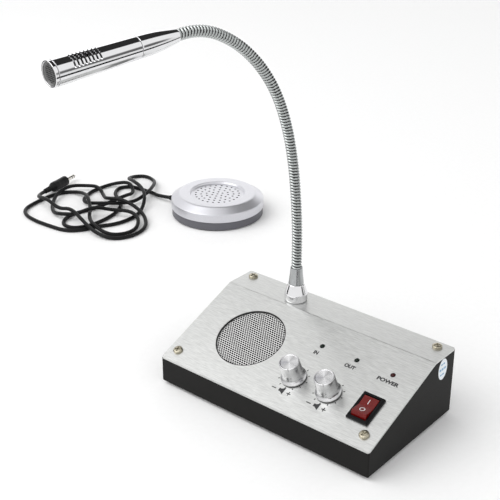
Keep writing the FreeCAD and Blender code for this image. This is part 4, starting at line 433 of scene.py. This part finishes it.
# Housing
# A tray of folded 1 mm steel with two cheeks welded in at its ends, powder coated in fine matt black. Four
# tabs on the cheeks take the faceplate's screws.
powder_coat = grained("powder_coat", (0.0065, 0.0062, 0.0058), 0.35, shade=0.3, roughness=0.55,
                      rough_change=0.08, bump=0.35, depth=0.03, specular=0.17)
for node in ("housing", "housing_sides"):
    nodes[node].material_slots[0].material = powder_coat

# Faceplate
# One sheet of stainless steel, 1.2 mm thick, brushed along its length and bent once where the slope meets
# the flat strip. Its openings are punched. The lettering is printed on it in black.
brushed_steel = grained("brushed_steel", (0.62, 0.625, 0.615), 0.36, stretch=(16, 1, 1), shade=0.15,
                        metallic=1.0, roughness=0.36, rough_change=0.08, bump=0.2, depth=0.012)
nodes["faceplate"].material_slots[0].material = brushed_steel
SLOPE = math.atan2(27.5, 69)


def on_console(x, y, z):
    """A place in the console's frame, whose zero is the housing's front left bottom corner."""
    return Matrix.Translation(((20.543 + x) / 1000, (-90.587 + y) / 1000, (2 + z) / 1000))


def on_slope(x, s):
    """A place on the slope, s along it from its front edge: Z stands square on the plate."""
    return on_console(x, s * math.cos(SLOPE), 18.5 + s * math.sin(SLOPE)) @ Matrix.Rotation(SLOPE, 4, "X")


panel_ink = grained("panel_ink", (0.02, 0.02, 0.022), 0.3, shade=0.2, roughness=0.5, bump=0.1, depth=0.01)
INK_HEIGHT = 0.03


def printed_word(word, height, width, x, s):
    """A printed word centred on a point of the slope, stretched to its height and width."""
    letters = bpy.data.curves.new(f"print_{word}", "FONT")
    letters.body = word
    letters.size = 0.01
    letters.offset = 0.0005
    sample = bpy.data.objects.new(f"print_{word}", letters)
    scene.collection.objects.link(sample)
    bpy.context.view_layer.update()
    drawn = sample.evaluated_get(bpy.context.evaluated_depsgraph_get())
    flat = bmesh.new()
    flat.from_mesh(bpy.data.meshes.new_from_object(drawn))
    bpy.data.objects.remove(sample)
    low = [min(vert.co[i] for vert in flat.verts) for i in range(2)]
    high = [max(vert.co[i] for vert in flat.verts) for i in range(2)]
    for vert in flat.verts:
        vert.co.x = ((vert.co.x - low[0]) / (high[0] - low[0]) - 0.5) * width
        vert.co.y = ((vert.co.y - low[1]) / (high[1] - low[1]) - 0.5) * height
        vert.co.z = INK_HEIGHT
    return stand(f"print_{word.lower()}", flat, on_slope(x, s), panel_ink, "console")


def printed_shape(name, outlines, place, material, body, lift=INK_HEIGHT):
    """Flat printed patches, each one an outline of points."""
    flat = bmesh.new()
    for outline in outlines:
        flat.faces.new([flat.verts.new((x, y, lift)) for x, y in outline])
    return stand(name, flat, place, material, body)


def bar(x, y, width, height):
    """The outline of a bar about its middle."""
    return [(x - width / 2, y - height / 2), (x + width / 2, y - height / 2), (x + width / 2, y + height / 2),
            (x - width / 2, y + height / 2)]


LED_PLACES = [(93.39, 54.6), (119.955, 54.6), (146.52, 54.6)]
KNOB_PLACES = [(91.74, 25.7), (118.47, 25.7)]
for word, width, shift, rise, (x, s) in zip(("IN", "OUT", "POWER"), (3.3, 7.8, 15.5), (-0.65, -1.2, 0.1),
                                            (-6.1, -6.1, -5.7), LED_PLACES):
    printed_word(word, 2.8, width, x + shift, s + rise)
for number, (x, s) in enumerate(KNOB_PLACES, start=1):
    marks = [
        bar(-6.8, -12.2, 3.4, 0.7),
        bar(4.7, -12.4, 3.0, 0.7),
        bar(4.7, -12.4, 0.7, 3.0),
        bar(-2.3, -12.0, 1.5, 2.2),
        [(-1.55, -13.1), (0.9, -14.7), (0.9, -9.3), (-1.55, -10.9)],
    ]
    for step in range(11):
        angle = math.radians(-240 + step * 30)
        inner = Vector((math.cos(angle), math.sin(angle))) * 9.0
        outer = inner * (10.2 / 9.0)
        across = Vector((-math.sin(angle), math.cos(angle))) * 0.3
        corners = (inner - across, outer - across, outer + across, inner + across)
        marks.append([tuple(corner) for corner in corners])
    printed_shape(f"volume_marks_{number}", marks, on_slope(x, s), panel_ink, "console")

# Faceplate screws
# Four self-tapping screws with low round heads and a cross recess, zinc plated and passivated to a faint
# brass tone.
screw_zinc = grained("screw_zinc", (0.40, 0.37, 0.29), 0.25, shade=0.2, metallic=1.0, roughness=0.26,
                     rough_change=0.1, bump=0.1, depth=0.01)
nodes["panel_screws"].material_slots[0].material = screw_zinc

# Speaker grille
# A disc of perforated steel, painted light grey, lies behind the round opening; the dark speaker shows
# through its holes, whose walls are painted near black as shade. A black ring on the opening's wall is a
# painted shadow that draws the thin dark line around it.
speaker_place = on_slope(45.606, 39.6)


def perforated(radius, pitch, hole, top, thickness, rim):
    """A disc of hexagonal cells with a round hole in each, its wall the second material, and a plain rim."""
    shape = bmesh.new()
    corners = 12
    rows = int(radius / (pitch * math.sqrt(3) / 2))
    for row in range(-rows, rows + 1):
        for column in range(-rows - 2, rows + 3):
            x = (column + (0.5 if row % 2 else 0.0)) * pitch
            y = row * pitch * math.sqrt(3) / 2
            if math.hypot(x, y) + pitch * 0.5 > radius:
                continue
            edge = []
            lip = []
            low_lip = []
            for corner in range(corners):
                angle = math.radians(30 * corner)
                reach = pitch / 2 / math.cos(math.radians((corner % 2) * 30))
                edge.append(shape.verts.new((x + reach * math.cos(angle), y + reach * math.sin(angle), top)))
                lip.append(shape.verts.new((x + hole * math.cos(angle), y + hole * math.sin(angle), top)))
                low_lip.append(shape.verts.new((*lip[-1].co.xy, top - thickness)))
            for corner in range(corners):
                after = (corner + 1) % corners
                shape.faces.new((edge[corner], edge[after], lip[after], lip[corner]))
                wall = shape.faces.new((lip[corner], lip[after], low_lip[after], low_lip[corner]))
                wall.material_index = 1
    face = top - 0.02
    back = top - thickness
    bound = lathe([(radius - pitch, face), (rim, face), (rim, back), (radius - pitch, back)])
    joined = bpy.data.meshes.new("rim")
    bound.to_mesh(joined)
    bound.free()
    shape.from_mesh(joined)
    return shape


grille_paint = grained("grille_paint", (0.78, 0.78, 0.775), 0.3, shade=0.08, metallic=0.35, roughness=0.42,
                       bump=0.1, depth=0.01)
grille = stand("grille_sheet", perforated(24.6, 1.8, 0.73, -1.2, 0.6, 28.0), speaker_place, grille_paint,
               "console")
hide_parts("speaker_mesh")
# The grille's hole walls take the painted shade.
grille.data.materials.append(hole_wall_shade)
# A black ring around the opening, a painted shadow of its recess.
opening_shadow_paint = grained("opening_shadow_paint", (0.01, 0.01, 0.01), 0.5, shade=0.2, roughness=0.7)
shadow_rim_outline = [(22.95, -1.18), (22.95, -0.15), (23.55, -0.15), (23.55, -1.18)]
stand("grille_shadow_rim", lathe(eased(shadow_rim_outline, 0.1)), speaker_place, opening_shadow_paint, "console")
for node in ("speaker_gasket", "speaker_cone", "speaker_basket"):
    nodes[node].material_slots[0].material = speaker_paper
ferrite = grained("ferrite", (0.05, 0.05, 0.052), 0.8, shade=0.25, roughness=0.7, bump=0.3, depth=0.05)
nodes["speaker_magnet"].material_slots[0].material = ferrite
zinc_plate = grained("zinc_plate", (0.55, 0.56, 0.57), 1.5, shade=0.12, metallic=1.0, roughness=0.38,
                     bump=0.15, depth=0.02)
for node in ("speaker_clamp_ring", "volume_pots", "pot_shaft_in", "pot_shaft_out",
             "pot_fixings", "switch_pin", "neck_stud", "neck_fixings", "board_fixings", "mic_capsule",
             "socket_nut", "puck_mic"):
    nodes[node].material_slots[0].material = zinc_plate

# Volume knobs
# Solid aluminium, turned in one piece: a flat skirt, a concave flank and a dished top with fine lathe
# rings. A notch in the rim shows the setting. Each knob is pressed on its shaft.
spun_aluminium_painted_highlights, spun_shader = new_material("spun_aluminium_painted_highlights")
spun_tree = spun_aluminium_painted_highlights.node_tree
spun_where = spun_tree.nodes.new("ShaderNodeTexCoord")
spun_rings = spun_tree.nodes.new("ShaderNodeTexWave")
spun_rings.wave_type = "RINGS"
spun_rings.rings_direction = "Z"
spun_rings.inputs["Scale"].default_value = 900
spun_rings.inputs["Distortion"].default_value = 1.5
spun_rings.inputs["Detail"].default_value = 2
spun_tree.links.new(spun_where.outputs["Object"], spun_rings.inputs["Vector"])
spun_tint = spun_tree.nodes.new("ShaderNodeValToRGB")
spun_tint.color_ramp.elements[0].color = (0.78, 0.78, 0.79, 1)
spun_tint.color_ramp.elements[1].color = (0.90, 0.90, 0.91, 1)
spun_tree.links.new(spun_rings.outputs["Color"], spun_tint.inputs["Fac"])
# Bright and dark sectors around the knob's axis are painted highlights and painted shade. They are multiplied
# into the base colour, are fixed to the knob and turn with it.
painted_highlight_sectors = spun_tree.nodes.new("ShaderNodeTexGradient")
painted_highlight_sectors.gradient_type = "RADIAL"
spun_tree.links.new(spun_where.outputs["Object"], painted_highlight_sectors.inputs["Vector"])
painted_highlight_ramp = spun_tree.nodes.new("ShaderNodeValToRGB")
for position, shine in ((0.15, 0.66), (0.278, 0.95), (0.40, 0.6), (0.53, 0.74), (0.66, 0.58), (0.778, 1.0),
                        (0.90, 0.6)):
    painted_highlight_ramp.color_ramp.elements.new(position).color = (shine, shine, shine, 1)
painted_highlight_ramp.color_ramp.elements[0].color = (0.48, 0.48, 0.5, 1)
painted_highlight_ramp.color_ramp.elements[-1].color = (0.48, 0.48, 0.5, 1)
spun_tree.links.new(painted_highlight_sectors.outputs["Fac"], painted_highlight_ramp.inputs["Fac"])
rings_and_painted_highlights = spun_tree.nodes.new("ShaderNodeMixRGB")
rings_and_painted_highlights.blend_type = "MULTIPLY"
rings_and_painted_highlights.inputs["Fac"].default_value = 1.0
spun_tree.links.new(spun_tint.outputs["Color"], rings_and_painted_highlights.inputs["Color1"])
spun_tree.links.new(painted_highlight_ramp.outputs["Color"], rings_and_painted_highlights.inputs["Color2"])
spun_tree.links.new(rings_and_painted_highlights.outputs["Color"], spun_shader.inputs["Base Color"])
spun_gloss = spun_tree.nodes.new("ShaderNodeMapRange")
spun_gloss.inputs["To Min"].default_value = 0.19
spun_gloss.inputs["To Max"].default_value = 0.25
spun_tree.links.new(spun_rings.outputs["Fac"], spun_gloss.inputs["Value"])
spun_tree.links.new(spun_gloss.outputs["Result"], spun_shader.inputs["Roughness"])
spun_relief = spun_tree.nodes.new("ShaderNodeBump")
spun_relief.inputs["Strength"].default_value = 0.06
spun_relief.inputs["Distance"].default_value = 0.00002
spun_tree.links.new(spun_rings.outputs["Fac"], spun_relief.inputs["Height"])
spun_tree.links.new(spun_relief.outputs["Normal"], spun_shader.inputs["Normal"])
spun_grain = spun_tree.nodes.new("ShaderNodeTangent")
spun_grain.direction_type = "RADIAL"
spun_grain.axis = "Z"
spun_tree.links.new(spun_grain.outputs["Tangent"], spun_shader.inputs["Tangent"])
spun_shader.inputs["Metallic"].default_value = 1.0
spun_shader.inputs["Anisotropic"].default_value = 0.7
for side, (x, s) in zip(("in", "out"), KNOB_PLACES):
    flank = [(8.3, 0.8), (8.3, 1.5)]
    for step in range(1, 13):
        up = step / 12
        flank.append((6.85 + 1.45 * (1 - up) ** 2.6, 1.5 + 3.7 * up))
    outline = [(5.8, 0.8)] + flank + [(6.42, 14.5), (6.1, 14.8), (5.7, 14.8), (5.5, 14.55), (0.0, 14.5)]
    notch = bmesh.new()
    bmesh.ops.create_cube(notch, size=1.0, matrix=Matrix.Translation((0, -6.55, 14.4))
                          @ Matrix.Diagonal((0.7, 1.4, 3.2, 1.0)))
    closed = [(0.0, 4.0), (5.8, 4.0)] + outline
    knob_shape = carve(lathe(eased(closed, 0.16), 96), notch)
    knob_place = on_slope(x, s) @ Matrix.Rotation(math.radians(30), 4, "Z")
    knob = stand(f"{side}_volume_knob", knob_shape, knob_place, spun_aluminium_painted_highlights, f"{side}_knob",
                 sharp=28)
    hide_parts(f"knob_{side}")
    # A thin black ring under each knob's skirt is a painted shadow of the gap beneath it.
    stand(f"{side}_knob_shadow_ring", lathe(eased([(6.2, 0.02), (8.0, 0.02), (8.0, 0.74), (6.2, 0.74)], 0.1), 64),
          on_slope(x, s), panel_ink, "console")

# Indicator lights
# Three 3 mm lamps: IN and OUT in dark green resin, POWER in red. They stand proud of the plate by their
# domes and sit in black push-in holders.
led_green = grained("led_green", (0.001, 0.008, 0.004), 0.8, shade=0.2, roughness=0.14, rough_change=0.03,
                    bump=0.02, depth=0.01, specular=0.25)
led_red = grained("led_red", (0.035, 0.002, 0.003), 0.8, shade=0.2, roughness=0.14, rough_change=0.03,
                  bump=0.02, depth=0.01, specular=0.25)
nodes["led_in"].material_slots[0].material = led_green
nodes["led_out"].material_slots[0].material = led_green
nodes["led_power"].material_slots[0].material = led_red
satin_black = grained("satin_black", (0.004, 0.004, 0.0045), 0.5, shade=0.2, roughness=0.38, bump=0.15,
                      depth=0.02, specular=0.12)
for node in ("led_holders", "switch_body", "power_inlet", "window_socket"):
    nodes[node].material_slots[0].material = satin_black
# A thin black ring around each lamp is a painted shadow of the gap in its hole.
lamp_shadow_rings = bmesh.new()
for x, s in LED_PLACES:
    ring = lathe([(1.52, 0.02), (1.52, 0.05), (1.66, 0.05), (1.72, 0.02)], 40)
    bmesh.ops.transform(ring, matrix=Matrix.Translation((x, s, 0)), verts=ring.verts)
    loop = bpy.data.meshes.new("loop")
    ring.to_mesh(loop)
    ring.free()
    lamp_shadow_rings.from_mesh(loop)
stand("lamp_shadow_rings", lamp_shadow_rings, on_slope(0, 0), satin_black, "console")

# Power switch
# A snap-in rocker switch: a black nylon bezel with a red polycarbonate rocker that swings on a steel pin.
# The on and off signs are printed white on its two halves. It rests switched on, its rear half down.
rocker_red = grained("rocker_red", (0.13, 0.003, 0.002), 1.5, shade=0.12, roughness=0.24, rough_change=0.04,
                     bump=0.03, depth=0.01, specular=0.25, coat=0.08)
nodes["switch_rocker"].material_slots[0].material = rocker_red
sign_white = grained("sign_white", (0.85, 0.85, 0.85), 0.4, shade=0.03, roughness=0.4, bump=0.05)
rocker_place = on_slope(145.992, 25.4) @ Matrix.Translation((0, 0, -0.001)) \
    @ Matrix.Rotation(math.radians(-8.75), 4, "X")
half_tilt = math.atan2(4.603 - 3.0, 6.907)
rear_half = rocker_place @ Matrix.Translation((0, 0, 0.003)) @ Matrix.Rotation(half_tilt, 4, "X")
front_half = rocker_place @ Matrix.Translation((0, 0, 0.003)) @ Matrix.Rotation(-half_tilt, 4, "X")
printed_shape("rocker_on_sign", [bar(0, 3.5, 0.36, 3.3)], rear_half, sign_white, "rocker")
circle = lathe([(1.36, INK_HEIGHT), (1.74, INK_HEIGHT)], 48)
bmesh.ops.transform(circle, matrix=Matrix.Translation((0, -3.6, 0)), verts=circle.verts)
stand("rocker_off_sign", circle, front_half, sign_white, "rocker")
brass = grained("brass", (0.60, 0.44, 0.18), 0.8, shade=0.12, metallic=1.0, roughness=0.35)
nodes["switch_terminals"].material_slots[0].material = brass

# Gooseneck base
# A chrome plated nut, coned at its top, clamps the hollow stud to the deck, and a satin steel sleeve covers
# the end of the gooseneck above it.
chrome = grained("chrome", (0.80, 0.80, 0.81), 6.0, shade=0.02, metallic=1.0, roughness=0.06,
                 rough_change=0.02, bump=0.01, depth=0.01)
neck_place = on_console(49.995, 79, 46)
nut_outline = [(5.0, 0), (7.3, 0), (7.8, 0.5), (7.8, 5.2), (5.4, 12.2), (3.65, 12.2)]
dome_nut = stand("dome_nut", lathe(eased(nut_outline, 0.7, 5), 96), neck_place, chrome, "console")
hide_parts("neck_dome_nut")
# The sleeve's base colour is darkened as painted shade, standing in for the darker reflections along it.
sleeve_satin_painted_shade = grained("sleeve_satin_painted_shade", (0.40, 0.41, 0.415), 0.5, stretch=(1, 1, 8), shade=0.12, metallic=1.0,
                       roughness=0.15, rough_change=0.03, bump=0.04, depth=0.01)
sleeve_side = []
for step in range(13):
    up = step / 12
    sleeve_side.append((4.1 + 1.1 * (1 - up) ** 1.5, 12.2 + 11.8 * up))
sleeve = stand("neck_sleeve_piece", lathe(eased([(3.65, 12.2)] + sleeve_side + [(3.65, 24.0)], 0.3), 72),
               neck_place, sleeve_satin_painted_shade, "console")
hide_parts("neck_sleeve")

# Gooseneck
# Two steel wires wound into one flexible tube, chrome plated: round wire makes the ribs, and the groove
# between them is painted near black as shade. The chrome's colour is darkened as painted shade too. The
# winding runs unbroken from the sleeve to the microphone.
NECK_TURN = math.radians(10)
FORWARD = Vector((-math.sin(NECK_TURN), -math.cos(NECK_TURN), 0))
HINGE = Vector((math.cos(NECK_TURN), -math.sin(NECK_TURN), 0))
UP = Vector((0, 0, 1))
STRETCHES = [(38, 0), (25, 4), (25, 3), (25, 5.5), (25, 8.5), (25, 13), (25, 14.5), (25, 16), (26, 30),
             (10, 0)]


def along_neck(way):
    """A place on the gooseneck's centreline, that many millimetres from the deck: Z runs along the tube."""
    point = Vector((70.538, -11.587, 48.0))
    heading = 0.0
    for length, turn in STRETCHES:
        part = min(way, length)
        bend = math.radians(turn) * part / length
        if turn == 0:
            point = point + (UP * math.cos(heading) + FORWARD * math.sin(heading)) * part
        else:
            radius = length / math.radians(turn)
            point = point + UP * radius * (math.sin(heading + bend) - math.sin(heading))
            point = point + FORWARD * radius * (math.cos(heading) - math.cos(heading + bend))
        heading += bend
        way -= part
        if way <= 0:
            break
    tube = UP * math.cos(heading) + FORWARD * math.sin(heading)
    turn = Matrix((HINGE, tube.cross(HINGE), tube)).transposed().to_4x4()
    return Matrix.Translation(point / 1000) @ turn


# The wire's chrome colour is darkened well below the plain chrome, a painted shade standing in for darker
# reflections.
wire_chrome_painted_shade = grained("wire_chrome_painted_shade", (0.46, 0.48, 0.475), 1.5, shade=0.05, metallic=1.0, roughness=0.1,
                      rough_change=0.03, bump=0.05, depth=0.01)
# Painted shade: the faces low between the ribs are near black.
groove_shade = grained("groove_shade", (0.008, 0.008, 0.008), 0.6, shade=0.2, roughness=0.6, specular=0.15)
RIB_PITCH = 2.1
RIB_HEIGHT = 0.7
RIB_HALF_SHARE = 0.31
GROOVE_RADIUS = 2.8
SHADE_BELOW = 0.55


def winding(start, end, around=32):
    """The wound tube between two places on the centreline, as a mesh in the row's frame."""
    shape = bmesh.new()
    count = round((end - start) / (RIB_PITCH / 12))
    rings = []
    crests = []
    for station in range(count + 1):
        way = start + (end - start) * station / count
        place = along_neck(way)
        ring = []
        crest = []
        for step in range(around):
            turn = step / around
            phase = (way / RIB_PITCH + turn) % 1.0
            height = math.sqrt(max(0.0, 1 - (phase / RIB_HALF_SHARE - 1) ** 2))
            radius = GROOVE_RADIUS + RIB_HEIGHT * height
            angle = 2 * math.pi * turn
            spot = Vector((radius * math.cos(angle), radius * math.sin(angle), 0)) / 1000
            ring.append(shape.verts.new((place @ spot) * 1000))
            crest.append(height)
        rings.append(ring)
        crests.append(crest)
    for low, high, low_crest in zip(rings, rings[1:], crests):
        for step in range(around):
            after = (step + 1) % around
            face = shape.faces.new((low[step], low[after], high[after], high[step]))
            face.material_index = 1 if low_crest[step] < SHADE_BELOW else 0
    return shape


neck_bodies = ["console", "neck_2", "neck_3", "neck_4", "neck_5", "neck_6", "neck_7", "neck_8", "microphone"]
breaks = [20, 26, 50.5, 75.5, 100.5, 125.5, 150.5, 175.5, 200.5, 226, 246]
stay = Matrix.Identity(4)
for number, (start, end) in enumerate(zip(breaks, breaks[1:])):
    bends = 0 < number < 9
    body = None if bends else neck_bodies[max(0, number - 1)]
    tube = stand(f"winding_{number + 1}", winding(start, end), stay, wire_chrome_painted_shade, body,
                 sharp=60)
    tube.data.materials.append(groove_shade)
    if bends:
        tuple(along_neck(start + 1.5).translation)
        tuple(along_neck(end - 1.5).translation)
        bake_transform(tube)
    if number < 9:
        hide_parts(f"neck_link_{number + 1}")

# Microphone head
# Turned brass, chrome plated: a rear cone, a tube that widens to the front, with eight slots on each side,
# and a front bezel that holds a disc of fine black mesh over the capsule.
mic_place = along_neck(243)
cone_side = []
for step in range(25):
    share = step / 24
    cone_side.append((4.1 + 2.15 * share + 0.55 * 4 * share * (1 - share), 26.2 * share))
cone = stand("microphone_cone", lathe(eased([(3.55, 0.0)] + cone_side + [(5.5, 26.2), (5.5, 32)], 0.25), 96),
             mic_place, chrome, "microphone")
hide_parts("mic_cone")
MIC_LENGTH = 80.7
SLOTS_BEHIND_FRONT = 11.7
SLOT_PITCH = 2.3
SLOT_WIDTH = 1.1
slots_turn = Matrix.Rotation(math.radians(-25.5), 4, "Z")
slot_cutters = bmesh.new()
for slot in range(8):
    middle = MIC_LENGTH - SLOTS_BEHIND_FRONT - slot * SLOT_PITCH - SLOT_WIDTH / 2
    for side in (-1, 1):
        spot = Matrix.Translation((0, side * 6.5, middle)) @ Matrix.Diagonal((20, 4.0, SLOT_WIDTH, 1))
        bmesh.ops.create_cube(slot_cutters, size=1.0, matrix=slots_turn @ spot)
tube_outline = [(5.55, 26.6), (6.25, 26.6), (7.3, 78.3), (6.6, 78.3), (5.55, 26.6)]
mic_tube = stand("microphone_tube", carve(lathe(eased(tube_outline, 0.12), 128), slot_cutters), mic_place,
                 chrome, "microphone", sharp=28)
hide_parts("mic_tube")
bezel_outline = [(4.7, 75.8), (6.5, 75.8), (6.5, 78.7), (7.3, 78.7), (7.3, MIC_LENGTH), (6.4, MIC_LENGTH),
                 (6.4, 79.4), (4.7, 79.4)]
bezel = stand("microphone_bezel", lathe(eased(bezel_outline, 0.3), 96), mic_place, chrome, "microphone")
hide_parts("mic_bezel")
mesh_black = grained("mesh_black", (0.16, 0.16, 0.16), 0.4, shade=0.15, metallic=0.8, roughness=0.4)
front_mesh = stand("microphone_mesh", perforated(6.2, 1.35, 0.46, 79.8, 0.4, 6.35), mic_place, mesh_black,
                   "microphone")
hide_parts("mic_mesh")
# The mesh's hole walls take the painted shade.
front_mesh.data.materials.append(hole_wall_shade)
nodes["mic_capsule_seat"].material_slots[0].material = pad_rubber

# Inside the console
# An amplifier board on four standoffs, with black chips and capacitors.
board_green = grained("board_green", (0.01, 0.09, 0.045), 2.0, shade=0.15, roughness=0.4, bump=0.1,
                      depth=0.02)
nodes["amp_board"].material_slots[0].material = board_green
component_black = grained("component_black", (0.02, 0.02, 0.022), 1.0, shade=0.2, roughness=0.5, bump=0.1,
                          depth=0.02)
nodes["board_components"].material_slots[0].material = component_black

# Feet and sticker
# Four stick-on rubber feet, and an oval paper sticker on the right cheek. Its print is left as plain bars.
nodes["rubber_feet"].material_slots[0].material = pad_rubber
sticker_paper = grained("sticker_paper", (0.82, 0.86, 0.90), 0.8, shade=0.03, roughness=0.45, bump=0.1,
                        depth=0.01)
nodes["side_label"].material_slots[0].material = sticker_paper
sticker_blue = grained("sticker_blue", (0.20, 0.40, 0.60), 0.5, shade=0.1, roughness=0.45, bump=0.05)
sticker_place = on_console(165.15, 78, 37.3) @ Matrix.Rotation(math.radians(90), 4, "Z") \
    @ Matrix.Rotation(math.radians(90), 4, "X")
rows = [bar(x, 3.8, 1.8, 1.2) for x in (-1.6, 0.9)] + [bar(x, 0.2, 2.0, 1.7) for x in (-2.9, -0.3, 2.4)]
rows += [bar(x, -3.6, 1.8, 1.2) for x in (-1.9, 0.6)]
printed_shape("sticker_bars", rows, sticker_place, sticker_blue, "console")
